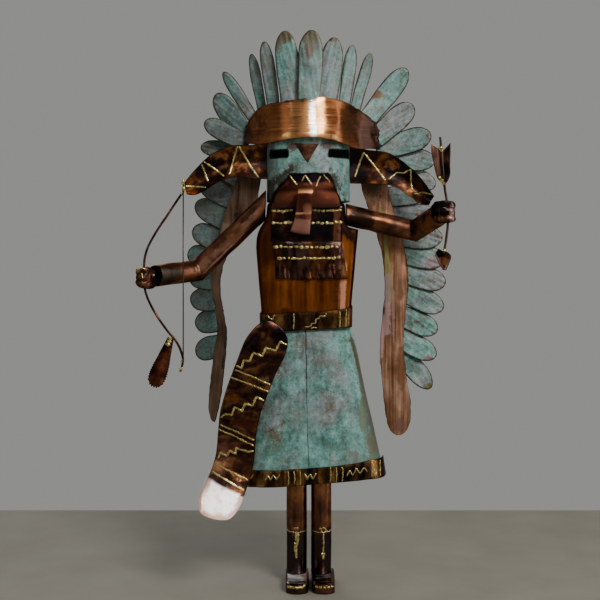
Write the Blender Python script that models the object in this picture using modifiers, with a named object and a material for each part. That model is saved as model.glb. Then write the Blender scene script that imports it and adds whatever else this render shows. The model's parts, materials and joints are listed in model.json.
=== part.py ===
"""Metal kachina sculpture: a standing masked dancer bent and brazed from sheet copper and copper pipe.

The figure faces -Y and stands on two flat boots at Z = 0. +X is the side of the hand that holds the
arrow, -X the side of the hand that holds the bow. Plan and height figures below are millimetres and
are turned into metres when a mesh is made.
"""

import math

import bmesh
import bpy
from mathutils import Vector

MM = 0.001
GAP = 0.3                 # clear space between pieces that lie on each other

# Driving dimensions -----------------------------------------------------------------------------
PIPE_RADIUS = 14.3        # one-inch copper pipe
PIPE_WALL = 1.3
SHEET = 1.2               # sheet of the body, head and skirt
LEAF = 0.9                # thinner sheet of the feathers

BOOT_TOP = 15.0
LEG_X = 17.0
WAIST_Z = 368.0           # floor of the torso, on which everything above is carried
HIP_Z = 355.0
SHOULDER_Z = 529.5
MASK_TOP = 646.0
HEM_Z = 157.0

TORSO_X = -4.0
MASK_X = -1.2
MASK_HALF = (57.0, 50.0)


# Finishes ---------------------------------------------------------------------------------------
def finish(name, colour, roughness, metallic=1.0):
    material = bpy.data.materials.new(name)
    material.use_nodes = True
    shader = material.node_tree.nodes["Principled BSDF"]
    shader.inputs["Base Color"].default_value = (*colour, 1.0)
    shader.inputs["Roughness"].default_value = roughness
    shader.inputs["Metallic"].default_value = metallic
    material.diffuse_color = (*colour, 1.0)
    return material


def make_finishes():
    return {
        "boot_brown": finish("boot_brown", (0.10, 0.045, 0.03), 0.3),
        "leg_brown": finish("leg_brown", (0.20, 0.07, 0.035), 0.35),
        "skirt_verdigris": finish("skirt_verdigris", (0.24, 0.37, 0.34), 0.65, 0.3),
        "hem_torched": finish("hem_torched", (0.16, 0.08, 0.045), 0.35),
        "belt_torched": finish("belt_torched", (0.15, 0.08, 0.045), 0.35),
        "sash_torched": finish("sash_torched", (0.15, 0.07, 0.045), 0.35),
        "torso_copper": finish("torso_copper", (0.52, 0.22, 0.08), 0.3),
        "breast_torched": finish("breast_torched", (0.16, 0.065, 0.04), 0.38),
        "fringe_torched": finish("fringe_torched", (0.20, 0.085, 0.05), 0.38),
        "mask_verdigris": finish("mask_verdigris", (0.26, 0.42, 0.40), 0.6, 0.3),
        "beard_red": finish("beard_red", (0.34, 0.10, 0.05), 0.4),
        "tongue_copper": finish("tongue_copper", (0.50, 0.20, 0.12), 0.35),
        "headband_copper": finish("headband_copper", (0.62, 0.27, 0.13), 0.25),
        "trailer_copper": finish("trailer_copper", (0.46, 0.27, 0.17), 0.35),
        "horn_torched": finish("horn_torched", (0.22, 0.09, 0.04), 0.35),
        "arm_copper": finish("arm_copper", (0.28, 0.10, 0.055), 0.35),
        "hand_copper": finish("hand_copper", (0.24, 0.09, 0.06), 0.4),
        "bow_rod": finish("bow_rod", (0.14, 0.08, 0.05), 0.45),
        "bowstring_wire": finish("bowstring_wire", (0.22, 0.15, 0.10), 0.4),
        "arrow_copper": finish("arrow_copper", (0.40, 0.18, 0.11), 0.35),
        "feather_verdigris": finish("feather_verdigris", (0.30, 0.42, 0.39), 0.55, 0.4),
    }


# Modelling helpers ------------------------------------------------------------------------------
def through(points, count):
    """A smooth run of count points through hand-set points (Catmull-Rom)."""
    run = []
    last = len(points) - 1
    for step in range(count):
        place = last * step / (count - 1)
        k = min(int(place), last - 1)
        t = place - k
        p0 = points[max(k - 1, 0)]
        p1 = points[k]
        p2 = points[k + 1]
        p3 = points[min(k + 2, last)]
        run.append(tuple(
            0.5 * (2 * b + (c - a) * t + (2 * a - 5 * b + 4 * c - d) * t * t + (3 * b - a - 3 * c + d) * t ** 3)
            for a, b, c, d in zip(p0, p1, p2, p3)))
    return run


def at_value(table, value):
    """Straight-line reading of a table whose rows begin with a rising value."""
    if value <= table[0][0]:
        return table[0][1:]
    for low, high in zip(table, table[1:]):
        if value <= high[0]:
            t = (value - low[0]) / (high[0] - low[0])
            return tuple(a + (b - a) * t for a, b in zip(low[1:], high[1:]))
    return table[-1][1:]


def new_object(name, vertices, faces, material, smooth=True):
    mesh = bpy.data.meshes.new(name)
    mesh.from_pydata([Vector(v) * MM for v in vertices], [], faces)
    mesh.materials.append(material)
    for polygon in mesh.polygons:
        polygon.use_smooth = smooth
    piece = bpy.data.objects.new(name, mesh)
    FIGURE.objects.link(piece)
    return piece


def thicken(piece, thickness, offset):
    """Give a sheet its thickness: offset -1 inward, 0 to both sides, +1 outward."""
    solidify = piece.modifiers.new("thickness", "SOLIDIFY")
    solidify.thickness = thickness * MM
    solidify.offset = offset
    solidify.use_even_offset = True
    return piece


def sheet(name, rows, material, thickness=SHEET, offset=0.0, closed=False, floor=False, smooth=True):
    """Sheet metal through rows of points; closed rows run right round, a floor closes the first row."""
    width = len(rows[0])
    vertices = [point for row in rows for point in row]
    faces = []
    if floor:
        faces.append(tuple(reversed(range(width))))
    for r in range(len(rows) - 1):
        for c in range(width if closed else width - 1):
            d = (c + 1) % width
            faces.append((r * width + c, r * width + d, (r + 1) * width + d, (r + 1) * width + c))
    return thicken(new_object(name, vertices, faces, material, smooth), thickness, offset)


def between(first_edge, second_edge, columns, bulge=0.0):
    """Rows of points from one edge to the other; bulge moves the middle of each row toward -Y."""
    rows = []
    for a, b in zip(first_edge, second_edge):
        row = []
        for c in range(columns):
            t = c / (columns - 1)
            x, y, z = (p + (q - p) * t for p, q in zip(a, b))
            row.append((x, y - bulge * 4 * t * (1 - t), z))
        rows.append(row)
    return rows


def oval(centre_x, half_x, half_y, height, squareness, count):
    """A ring between an ellipse and a rectangle; height is a number or a function of X."""
    ring = []
    for k in range(count):
        angle = 2 * math.pi * (k + 0.5) / count
        c = math.cos(angle)
        s = math.sin(angle)
        x = centre_x + half_x * math.copysign(abs(c) ** (2 / squareness), c)
        y = half_y * math.copysign(abs(s) ** (2 / squareness), s)
        ring.append((x, y, height(x) if callable(height) else height))
    return ring


def oval_front(x, centre_x, half_x, half_y, squareness):
    """Y of an oval's front face at X."""
    part = min(abs(x - centre_x) / half_x, 0.999)
    return -half_y * (1 - part ** squareness) ** (1 / squareness)


def plate(name, outline, material, thickness, y, smooth=False):
    """A flat plate cut to an outline in the XZ plane, centred on Y = y."""
    piece = new_object(name, [(x, y, z) for x, z in outline], [tuple(range(len(outline)))], material, smooth)
    return thicken(piece, thickness, 0.0)


def cutter(name, low, high):
    """A box used to cut another piece."""
    corners = [(x, y, z) for x in (low[0], high[0]) for y in (low[1], high[1]) for z in (low[2], high[2])]
    faces = [(0, 1, 3, 2), (4, 6, 7, 5), (0, 4, 5, 1), (2, 3, 7, 6), (0, 2, 6, 4), (1, 5, 7, 3)]
    mesh = bpy.data.meshes.new(name)
    mesh.from_pydata([Vector(v) * MM for v in corners], [], faces)
    return as_cutter(bpy.data.objects.new(name, mesh))


def as_cutter(tool):
    for collection in tool.users_collection:
        collection.objects.unlink(tool)
    CUTTERS.objects.link(tool)
    tool.hide_render = True
    tool.display_type = "WIRE"
    return tool


def combine(piece, tool, operation):
    boolean = piece.modifiers.new(tool.name, "BOOLEAN")
    boolean.operation = operation
    boolean.solver = "EXACT"
    boolean.object = tool
    return piece


def pipe(name, stations, material, start_plane=None, end_plane=None, sides=20):
    """Pipe with mitred elbows through stations; the planes are the normals of its end cuts."""
    stations = [Vector(s) for s in stations]
    runs = [(b - a).normalized() for a, b in zip(stations, stations[1:])]
    cross = runs[0].cross(Vector((0, 1, 0))).normalized()
    up = cross.cross(runs[0]).normalized()
    rows = []
    for k, station in enumerate(stations):
        before = runs[max(k - 1, 0)]
        after = runs[min(k, len(runs) - 1)]
        normal = (before + after).normalized()
        if k == 0 and start_plane is not None:
            normal = Vector(start_plane).normalized()
        if k == len(stations) - 1 and end_plane is not None:
            normal = Vector(end_plane).normalized()
        ring = []
        for j in range(sides):
            angle = 2 * math.pi * j / sides
            point = station + cross * (PIPE_RADIUS * math.cos(angle)) + up * (PIPE_RADIUS * math.sin(angle))
            slide = (station - point).dot(normal) / before.dot(normal)
            ring.append(tuple(point + before * slide))
        rows.append(ring)
        turn = before.rotation_difference(after)
        cross = turn @ cross
        up = turn @ up
    # rings wind so that the pipe's outside faces out
    if (Vector(rows[1][0]) - Vector(rows[0][0])).dot(
            (Vector(rows[0][1]) - Vector(rows[0][0])).cross(Vector(rows[0][0]) - stations[0])) > 0:
        rows = [list(reversed(ring)) for ring in rows]
    return sheet(name, rows, material, PIPE_WALL, -1.0, closed=True)


def rod(name, points, radius, material, sides=8):
    """A bent rod: a curve with a round bevel and filled ends, made into a welded mesh."""
    curve = bpy.data.curves.new(name, "CURVE")
    curve.dimensions = "3D"
    curve.bevel_depth = radius * MM
    curve.bevel_resolution = sides // 4 - 1
    curve.use_fill_caps = True
    spline = curve.splines.new("POLY")
    spline.points.add(len(points) - 1)
    for knot, point in zip(spline.points, points):
        knot.co = (*(Vector(point) * MM), 1.0)
    shape = bpy.data.objects.new(name, curve)
    FIGURE.objects.link(shape)
    view = bpy.context.evaluated_depsgraph_get()
    mesh = bpy.data.meshes.new_from_object(shape.evaluated_get(view))
    bpy.data.objects.remove(shape)
    mesh.name = name
    welded = bmesh.new()
    welded.from_mesh(mesh)
    bmesh.ops.remove_doubles(welded, verts=welded.verts, dist=0.00001)
    welded.to_mesh(mesh)
    welded.free()
    mesh.materials.clear()
    mesh.materials.append(material)
    piece = bpy.data.objects.new(name, mesh)
    FIGURE.objects.link(piece)
    return piece


# Lower body -------------------------------------------------------------------------------------
BOOT_FRONT = -56.0
BOOT_BACK = 20.0
BOOT_HALF = 16.0


def boot(name, centre_x):
    """A thick sole plate with a round toe that rises a little to the ankle."""
    outline = []
    for k in range(9):
        angle = math.pi * (1 + k / 8)
        outline.append((centre_x + BOOT_HALF * math.cos(angle), BOOT_FRONT + 13 + 13 * math.sin(angle)))
    outline += [(centre_x + BOOT_HALF, BOOT_BACK - 4), (centre_x + BOOT_HALF - 4, BOOT_BACK)]
    outline += [(centre_x - BOOT_HALF + 4, BOOT_BACK), (centre_x - BOOT_HALF, BOOT_BACK - 4)]
    count = len(outline)

    def top(y):
        return BOOT_TOP - 1.5 * max(0.0, (-PIPE_RADIUS - 3 - y) / 38)

    inner = [(centre_x + (x - centre_x) * 0.93, y * 0.97, top(y)) for x, y in outline]
    vertices = [(x, y, 0.0) for x, y in outline]
    vertices += [(x, y, top(y) - 1.4) for x, y in outline]
    vertices += inner
    faces = [tuple(reversed(range(count)))]
    for ring in (0, count):
        for k in range(count):
            j = (k + 1) % count
            faces.append((ring + k, ring + j, ring + count + j, ring + count + k))
    faces.append(tuple(range(2 * count, 3 * count)))
    return new_object(name, vertices, faces, FINISH["boot_brown"], False)


def leg(name, centre_x):
    ends = [(centre_x, 0, BOOT_TOP + GAP), (centre_x, 0, WAIST_Z - GAP)]
    return pipe(name, ends, FINISH["leg_brown"])


# z, middle x, half width, half depth
SKIRT_ROWS = ((HEM_Z, 0.5, 101.5, 64.0), (224.0, 3.0, 86.0, 56.0), (283.0, 3.0, 71.5, 47.0),
              (HIP_Z, 3.0, 58.0, 39.0), (360.0, 1.5, 54.5, 38.0), (WAIST_Z - GAP, 0.0, 53.0, 37.0))
SKIRT_SQUARE = 4.0
HEM_SLOPE = 0.09


def skirt():
    rows = []
    for z, middle, half_x, half_y in SKIRT_ROWS:
        height = (lambda x, z=z: z + HEM_SLOPE * x) if z == HEM_Z else z
        rows.append(oval(middle, half_x, half_y, height, SKIRT_SQUARE, 32))
    return sheet("skirt", rows, FINISH["skirt_verdigris"], SHEET, -1.0, closed=True)


def skirt_size(x, z):
    """Middle, half width and half depth of the skirt at a place above its sloping hem."""
    slope = HEM_SLOPE * x
    above = SKIRT_ROWS[1][0]
    level = HEM_Z + (z - HEM_Z - slope) / (above - HEM_Z - slope) * (above - HEM_Z)
    return at_value(SKIRT_ROWS, min(max(level, HEM_Z - 12), above))


# x, bottom z, top z of the band sewn round the front of the hem
HEM_BAND = ((-101.0, 149.0, 170.0), (-82.0, 148.0, 171.0), (-32.0, 150.0, 172.5), (9.0, 153.5, 174.5),
            (57.0, 157.0, 180.0), (85.0, 158.5, 185.0), (104.0, 158.0, 183.5))


def hem_band():
    """A strip round the front and both sides of the hem, its ends standing off the skirt."""
    edges = ([], [])
    steps = 28
    for k in range(steps + 1):
        angle = math.radians(-190 + 185 * k / steps)
        off = GAP + SHEET / 2 + 0.8 + 2.0 * max(0.0, abs(k / steps - 0.5) * 2 - 0.72) / 0.28
        for edge, column in zip(edges, (1, 2)):
            c = math.cos(angle)
            s = math.sin(angle)
            x = 100.0 * c
            z = 160.0
            for _ in range(3):
                middle, half_x, half_y = skirt_size(x, z)
                x = middle + (half_x + off) * math.copysign(abs(c) ** (2 / SKIRT_SQUARE), c)
                y = (half_y + off) * math.copysign(abs(s) ** (2 / SKIRT_SQUARE), s)
                z = at_value(HEM_BAND, x)[column - 1]
            edge.append((x, y, z))
    return sheet("hem_band", between(edges[0], edges[1], 2), FINISH["hem_torched"])


# Torso ------------------------------------------------------------------------------------------
# z, half width, half depth, rise across X; the shoulders step in where the arms are set on
TORSO_ROWS = ((WAIST_Z, 60.0, 40.0, 0.0), (425.0, 65.0, 42.5, 0.0), (490.6, 71.0, 45.0, 0.028),
              (500.2, 54.0, 45.0, -0.065), (525.0, 53.5, 44.5, 0.0), (SHOULDER_Z, 51.0, 42.5, 0.0))
TORSO_SQUARE = 7.0


def torso():
    rows = []
    for z, half_x, half_y, rise in TORSO_ROWS:
        rows.append(oval(TORSO_X, half_x, half_y, lambda x, z=z, rise=rise: z + rise * x, TORSO_SQUARE, 28))
    rows.append(oval(TORSO_X, 36.0, 28.0, SHOULDER_Z, TORSO_SQUARE, 28))
    return sheet("torso", rows, FINISH["torso_copper"], SHEET, -1.0, closed=True, floor=True)


def torso_front(x, z):
    half_x, half_y, _ = at_value(TORSO_ROWS, z)
    return oval_front(x, TORSO_X, half_x, half_y, TORSO_SQUARE)


def belt():
    """A band round the waist that hangs a little lower on the bow side."""
    low = oval(TORSO_X, 62.4, 42.6, lambda x: 358.2 + 0.05 * x, TORSO_SQUARE, 36)
    high = oval(TORSO_X, 62.8, 43.0, lambda x: 382.5 + 0.06 * x + max(0.0, x - 35) * 0.12, TORSO_SQUARE, 36)
    return sheet("belt", [low, high], FINISH["belt_torched"], SHEET, 0.0, closed=True)


def breastplate_upper():
    columns = 11
    rows = []
    for z in (477.5, 500.0, 523.5):
        row = []
        for c in range(columns):
            x = -51.0 + 95.0 * c / (columns - 1)
            row.append((x, torso_front(x, 477.5) - GAP - SHEET / 2 - 0.7, z))
        rows.append(row)
    return sheet("breastplate_upper", rows, FINISH["breast_torched"], SHEET)


FRINGE_STRIPS = 10


def breastplate_fringe():
    """The lower bib, slit into strips along its bottom edge."""
    columns = 12
    rows = []
    for z, left, right in ((426.5, -44.5, 51.5), (452.0, -46.0, 46.5), (476.5, -47.5, 43.0)):
        row = []
        for c in range(columns):
            x = left + (right - left) * c / (columns - 1)
            row.append((x, torso_front(x, z) - GAP - SHEET / 2 - 0.7, z))
        rows.append(row)
    bib = sheet("breastplate_fringe", rows, FINISH["fringe_torched"], SHEET)
    slits = None
    for k in range(1, FRINGE_STRIPS):
        x = -44.5 + 96.0 * k / FRINGE_STRIPS
        slit = cutter("fringe_slit_%02d" % k, (x - 0.5, -60, 420), (x + 0.5, -30, 440 + 3 * math.sin(k * 2.3)))
        if slits is None:
            slits = slit
        else:
            combine(slits, slit, "UNION")
    return combine(bib, slits, "DIFFERENCE")


# Sash -------------------------------------------------------------------------------------------
# outer edge and inner edge of the sash, from the belt to the curled end
SASH_OUTER = ((-66, -44.5, 368), (-82, -45, 353), (-91, -45, 333), (-99, -46, 312), (-107, -47, 292),
              (-114, -49, 271), (-121, -50, 245), (-123, -51, 212), (-125, -52, 190), (-130, -54, 172),
              (-138, -57, 156), (-147, -62, 136), (-148.5, -68, 125), (-146, -74, 118), (-138.5, -79, 113),
              (-124, -83, 109.5))
SASH_INNER = ((-52, -46, 371), (-38, -48, 363), (-29, -49, 350), (-28, -50, 339), (-34, -52, 321),
              (-43, -54, 304), (-51, -57, 285), (-59, -60, 264), (-68, -64, 239), (-70, -67, 220),
              (-72, -69, 201), (-74, -71, 181), (-80, -72, 160), (-86, -74, 140), (-92.5, -79, 124),
              (-105, -82.5, 110.5))


def sash():
    rows = between(through(SASH_OUTER, 20), through(SASH_INNER, 20), 4, 3.0)
    return sheet("sash", rows, FINISH["sash_torched"])


# Head -------------------------------------------------------------------------------------------
MASK_ARCH = ((-50, 515), (-50, 536), (-48.5, 540), (-40.5, 550), (-31.5, 558), (-25, 567), (25, 567),
             (30, 562.5), (34, 549.5), (43, 530), (46, 515))


def mask():
    """A tube-like case mask, closed above, with two eye slots and an arch over the mouth."""
    heights = ((SHOULDER_Z + GAP, 1.0), (588.0, 1.0), (MASK_TOP - 5, 0.98), (MASK_TOP, 0.86))
    rows = [oval(MASK_X, MASK_HALF[0] * f, MASK_HALF[1] * f, z, 2.3, 32) for z, f in reversed(heights)]
    case = sheet("mask", [list(reversed(row)) for row in rows], FINISH["mask_verdigris"], SHEET, -1.0,
                 closed=True, floor=True)
    combine(case, cutter("eye_bow_side", (-53.5, -62, 589), (-28, -8, 599)), "DIFFERENCE")
    combine(case, cutter("eye_arrow_side", (26, -62, 589), (54.5, -8, 599)), "DIFFERENCE")
    arch = as_cutter(plate("mouth_arch", MASK_ARCH, FINISH["mask_verdigris"], 46.0, -35.0))
    return combine(case, arch, "DIFFERENCE")


def mask_front(x, inset):
    return oval_front(x, MASK_X, MASK_HALF[0] - inset, MASK_HALF[1] - inset, 2.3)


def beard():
    """The mouth plate inside the arch, turned out below into an apron over the bib."""
    # z, left x, right x, how far it follows the mask's curve, y at the middle
    levels = ((568.5, -28.0, 27.0, 1.0, -46.8), (558.0, -35.0, 33.0, 1.0, -46.8),
              (552.0, -40.5, 34.0, 1.0, -46.8), (547.0, -41.0, 33.5, 0.8, -48.0),
              (543.0, -43.5, 36.0, 0.35, -50.5), (533.0, -47.0, 40.0, 0.15, -51.5),
              (521.5, -46.0, 41.0, 0.1, -52.0))
    rows = []
    for z, left, right, follow, middle in levels:
        row = []
        for c in range(9):
            x = left + (right - left) * c / 8
            row.append((x, middle + follow * (mask_front(x, 3.2) - mask_front(0, 3.2)), z))
        rows.append(row)
    return sheet("beard", list(reversed(rows)), FINISH["beard_red"])


def tongue():
    levels = ((-14.0, 6.5, -52.5, 545.5), (-14.5, 6.5, -60.0, 548.0), (-15.0, 5.5, -67.0, 547.0),
              (-15.5, 5.0, -70.5, 541.0), (-17.0, 4.0, -69.0, 527.0), (-18.5, 2.5, -67.0, 513.0),
              (-22.0, 1.5, -67.5, 500.0), (-26.0, 0.5, -68.5, 486.5))
    rows = [[(left, y, z + (4.0 if z < 490 else 0.0)), ((left + right) / 2, y - 0.8, z), (right, y, z)]
            for left, right, y, z in levels]
    return sheet("tongue", rows, FINISH["tongue_copper"])


# x, y at mid height, bottom z, top z of the band that carries the crown of feathers
HEADBAND = ((-88, -3, 609.5, 631), (-79, -9, 608.5, 646), (-67, -17, 607, 657), (-56, -28, 607.5, 660),
            (-42, -43, 610, 662), (-24, -54, 612, 664), (-8, -58, 614, 666), (2, -58.5, 614, 663),
            (11, -58, 614, 668), (24, -54, 611.5, 667), (42, -43, 608.5, 664), (56, -28, 602, 660),
            (67, -17, 601, 654), (80, -9, 602, 647), (88, -4, 602, 641), (96, 0, 601.5, 626))
HEADBAND_LEAN = math.tan(math.radians(7))


def headband():
    """A band bent round the brow and flared to each side, leaning back with height."""
    rows = []
    for x, y, low, high in through(HEADBAND, 27):
        rows.append([(x, y + (z - 637) * HEADBAND_LEAN, z) for z in (low, (low + high) / 2, high)])
    return sheet("headband", rows, FINISH["headband_copper"])


# inner and outer edge of the two long strips that hang behind the arms, from the headband down
TRAILER_ARROW = (
    ((64, 9, 598), (69, 10, 570), (73, 11, 545), (84, 11.5, 515), (95, 12, 484), (102, 12, 455),
     (105.5, 12, 425), (105, 12, 395), (101, 12, 364), (98, 12, 334), (100.5, 12, 303), (104, 12, 255),
     (108.5, 12, 226), (113, 12, 213), (121, 12, 205.5)),
    ((97, 9, 598), (106, 10, 570), (109, 11, 545), (118, 12, 515), (128, 13, 480), (136, 13, 455),
     (139, 13, 425), (136.5, 13, 395), (132.5, 13, 360), (131.5, 13, 330), (135, 13, 298), (142, 13, 255),
     (143, 13, 231), (139.5, 13, 215), (130, 13, 205.5)))
TRAILER_BOW = (
    ((-62, 9, 598), (-65, 10, 566), (-69, 11, 542), (-76, 11, 516), (-97, 11, 478), (-122, 10, 444),
     (-123, 9, 402), (-115.5, 9, 364), (-114, 9, 342), (-117, 9, 308), (-121, 9, 273), (-126, 9, 240),
     (-132, 12, 224)),
    ((-92, 10, 598), (-97, 13, 566), (-108, 16, 538), (-117, 20, 516), (-126, 28, 484), (-138, 32, 444),
     (-136.5, 34, 402), (-128, 34, 364), (-129, 34, 342), (-135.5, 34, 308), (-139, 34, 273),
     (-142.5, 32, 240), (-137, 24, 224)))


def trailer(name, edges):
    inner = through(edges[0], 16)
    outer = through(edges[1], 16)
    return sheet(name, between(inner, outer, 3, 1.0), FINISH["trailer_copper"], 1.0)


def trailer_point(edges, z, across):
    """A place on a trailer at height z, across = 0 at the inner edge and 1 at the outer one."""
    inner = Vector((*at_value(sorted((p[2], p[0], p[1]) for p in edges[0]), z), z))
    outer = Vector((*at_value(sorted((p[2], p[0], p[1]) for p in edges[1]), z), z))
    return inner.lerp(outer, across)


HORN_BOW = (
    ((-59, -14, 611), (-66, -14, 610), (-74, -16.5, 606.5), (-91, -18, 607), (-106, -19, 606.5),
     (-130, -21, 596), (-143, -23, 585), (-156, -25, 571.5), (-166, -27, 559), (-170, -28, 552)),
    ((-59, -16, 561), (-75, -17, 562.5), (-90, -18, 564), (-104, -19, 563), (-115, -20, 560.5),
     (-125, -21, 556), (-136, -23, 548.5), (-146, -25, 542.5), (-155, -27, 539), (-165, -28, 541)))
HORN_ARROW = (
    ((58, -14, 604.5), (69, -14.5, 604), (78, -17, 599.5), (97, -18, 599), (110, -19, 594.5), (120, -20, 589),
     (133, -21, 579), (145, -23, 568), (159, -26, 551), (168, -28, 537)),
    ((58, -16, 555), (74, -17, 554.5), (90, -18, 555), (106, -19, 554), (119, -20, 549), (130.5, -21, 541),
     (137.5, -23, 536.5), (146, -25, 530), (153, -27, 527), (162, -28, 526)))


def horn(name, edges):
    """A dished horn sheet, hollow toward the front and curling forward at its tip."""
    rows = between(through(edges[0], 13), through(edges[1], 13), 5, -7.0)
    return sheet(name, rows, FINISH["horn_torched"])


# Feathers ---------------------------------------------------------------------------------------
# share of the length from the quill, share of the full width
CROWN_SHAPE = ((0.0, 0.82), (0.25, 0.9), (0.5, 0.98), (0.7, 1.0), (0.86, 0.86), (0.96, 0.52), (1.0, 0.2))
BOW_SHAPE = ((0.0, 0.35), (0.25, 0.6), (0.5, 0.85), (0.75, 1.0), (0.9, 0.88), (0.97, 0.6), (1.0, 0.3))
TRAILER_SHAPE = ((0.0, 0.85), (0.3, 0.97), (0.55, 1.0), (0.74, 0.95), (0.88, 0.75), (0.97, 0.42), (1.0, 0.18))


def feather(name, quill, tip, width, face, shape=CROWN_SHAPE, fold=0.05, bend=2.0, lap=0.0):
    """A leaf of sheet dished along its shaft; face is the turn of its front away from -Y.

    A lap tilts the leaf so that its lower edge comes forward over the next leaf down.
    """
    quill = Vector(quill)
    along = Vector(tip) - quill
    length = along.length
    along.normalize()
    front = Vector((math.sin(face), -math.cos(face), 0))
    across = along.cross(front).normalized()
    front = across.cross(along)
    lower = -1.0 if across.z > 0 else 1.0
    across = (across + front * (math.tan(lap) * lower)).normalized()
    front = across.cross(along)
    rows = []
    for t, share in shape:
        middle = quill + along * (length * t) - front * (bend * 4 * t * (1 - t))
        half = across * (width / 2 * share)
        drop = front * (width * fold * share)
        rows.append([tuple(middle - half - drop), tuple(middle), tuple(middle + half - drop)])
    return sheet(name, rows, FINISH["feather_verdigris"], LEAF)


# quill x, z and tip x, z, width, layer behind the band
CROWN = (
    (-84, 601, -150, 606, 24, 1), (-84, 608, -143, 640, 27, 0), (-83, 614, -128, 678, 31, 1),
    (-72, 637, -117, 708, 17.5, 0), (-63, 650, -79, 732, 15, 1), (-47, 652, -61, 746, 20, 0),
    (-24, 652, -33, 758, 32, 1), (-1, 652, 3, 757.5, 34, 0), (23, 654, 34, 749.5, 31, 1),
    (46, 650, 59, 741.5, 19, 0), (60, 645, 84, 733, 17, 1), (78, 641, 135, 713, 31, 0),
    (90, 616, 143, 664, 33, 1.4), (92, 602, 168, 623, 34, 0), (94, 595, 173, 587, 34, 1),
    (99, 582, 175, 553, 30, 2))
CROWN_LEAN = math.tan(math.radians(9))
LAP = math.radians(7)     # tilt that brings a leaf's lower edge over the next leaf down
CROWN_BACK = 4.6          # from the band to the nearer layer of feathers
CROWN_LAYER = 3.4         # from one layer to the next
STRIP_BACK = 13.0         # the end feathers stand behind the trailer strips


def crown_feathers():
    """The fan of feathers set behind the headband, from the bow side over to the arrow side."""
    band = [(x, y) for x, y, _, _ in HEADBAND]
    for k, (qx, qz, tx, tz, width, layer) in enumerate(CROWN):
        lap = 0.0
        if k == 0 or k > 12:
            turn = 0.0
            lean = 0.0
            plane = STRIP_BACK + CROWN_LAYER * layer
            lap = LAP if k > 12 else 0.0
        else:
            crossing = qx + 0.3 * (tx - qx)
            run = at_value(band, qx + 4)[0] - at_value(band, qx - 4)[0]
            turn = math.atan2(run, 8.0) * 0.2
            lean = CROWN_LEAN
            plane = max(at_value(band, qx)[0], at_value(band, crossing)[0]) + CROWN_BACK + CROWN_LAYER * layer
        quill = (qx, plane + lean * (qz - 637), qz)
        tip = (tx, plane + lean * (tz - 637) - (4.0 if k > 12 else 0.0), tz)
        feather("crown_feather_%02d" % (k + 1), quill, tip, width, turn, lap=lap)


# height on the strip, tip x, tip z, width
BOW_FEATHERS = ((529, -154, 559, 33), (501, -160, 529, 35), (472, -165, 493, 33), (446, -173, 460, 33),
                (420, -172, 428, 33), (392, -170, 395, 34), (365, -163, 360, 35), (331, -163, 318, 35))
BOW_TOP_LEAF = (551, -133, 588, 30)
ARROW_FEATHERS = ((536, 164, 545, 31), (514, 176, 514, 32), (486, 186, 481, 36), (463, 189, 449, 35),
                  (435, 191, 417, 34), (410, 188, 382, 34), (376, 180, 351, 33), (346, 178, 315, 33),
                  (331, 172, 270, 30))


def bow_side_leaf(name, row, sweep, shift=0.0):
    z, tx, tz, width = row
    quill = trailer_point(TRAILER_BOW, z, 0.72) + Vector((3.4, 6.4 + shift, 0))
    tip = Vector((tx, quill.y + sweep, tz))
    return feather(name, quill, tip, width, math.radians(-42), TRAILER_SHAPE, fold=0.02, lap=1.5 * LAP)


def trailer_feathers():
    """Leaves lapped down the back of each strip, swept back with it on the bow side."""
    for k, row in enumerate(BOW_FEATHERS):
        sweep = 30.0 if k > 2 else 18.0 + 3.0 * k
        bow_side_leaf("bow_side_feather_%d" % (k + 1), row, sweep, 1.9 if k > 2 else 0.0)
    # the topmost leaf is brazed to the one below it where they lap
    top = bow_side_leaf("bow_side_top_leaf", BOW_TOP_LEAF, 14.0, -1.2)
    combine(bpy.data.objects["bow_side_feather_1"], as_cutter(top), "UNION")
    for k, (z, tx, tz, width) in enumerate(ARROW_FEATHERS):
        quill = trailer_point(TRAILER_ARROW, z, 0.66) + Vector((0, 4.6, 0))
        tip = Vector((tx, quill.y + 5.0, tz))
        if k == len(ARROW_FEATHERS) - 1:
            quill.y += 3.4
            tip.y += 3.4
        feather("arrow_side_feather_%d" % (k + 1), quill, tip, width, 0.0, TRAILER_SHAPE, fold=0.02, lap=LAP)


# Arms, hands and what they hold -----------------------------------------------------------------
BOW_WRIST = (-206.5, -48.0, 431.0)
ARROW_WRIST = (173.0, -49.0, 513.0)


def arms():
    pipe("arm_bow_side", [(-59.4, -8, 525.8), (-152, -9, 437), BOW_WRIST], FINISH["arm_copper"],
         start_plane=(-1, 0, 0), end_plane=(-0.6, -0.8, 0))
    pipe("arm_arrow_side", [(50.4, -8, 512.9), (144, -9, 491), ARROW_WRIST], FINISH["arm_copper"],
         start_plane=(1, 0, 0))


FINGERS = 3
FINGER_SLIT = 0.8
PALM = 2                  # stations of the strip before it is slit


def hand(name, path):
    """A crumpled strip curled round what it holds, slit beyond the palm into three fingers."""
    middle = Vector((sum(p[0] for p in path) / len(path), sum(p[1] for p in path) / len(path)))
    vertices = []
    for k, (x, y, low, high) in enumerate(path):
        out = (Vector((x, y)) - middle).normalized()
        for finger in range(FINGERS):
            bottom = low + (high - low) * finger / FINGERS + FINGER_SLIT / 2
            top = low + (high - low) * (finger + 1) / FINGERS - FINGER_SLIT / 2
            puff = 1.4 + 0.7 * math.sin(2.1 * k + 1.9 * finger)
            for z, swell in ((bottom, 0.0), ((bottom + top) / 2, puff), (top, 0.0)):
                vertices.append((x + out.x * swell, y + out.y * swell, z))
    width = 3 * FINGERS
    faces = []
    for k in range(len(path) - 1):
        for c in range(width - 1):
            if c % 3 < 2 or k < PALM:
                corner = k * width + c
                faces.append((corner, corner + 1, corner + 1 + width, corner + width))
    return thicken(new_object(name, vertices, faces, FINISH["hand_copper"]), SHEET, 0.0)


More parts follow.
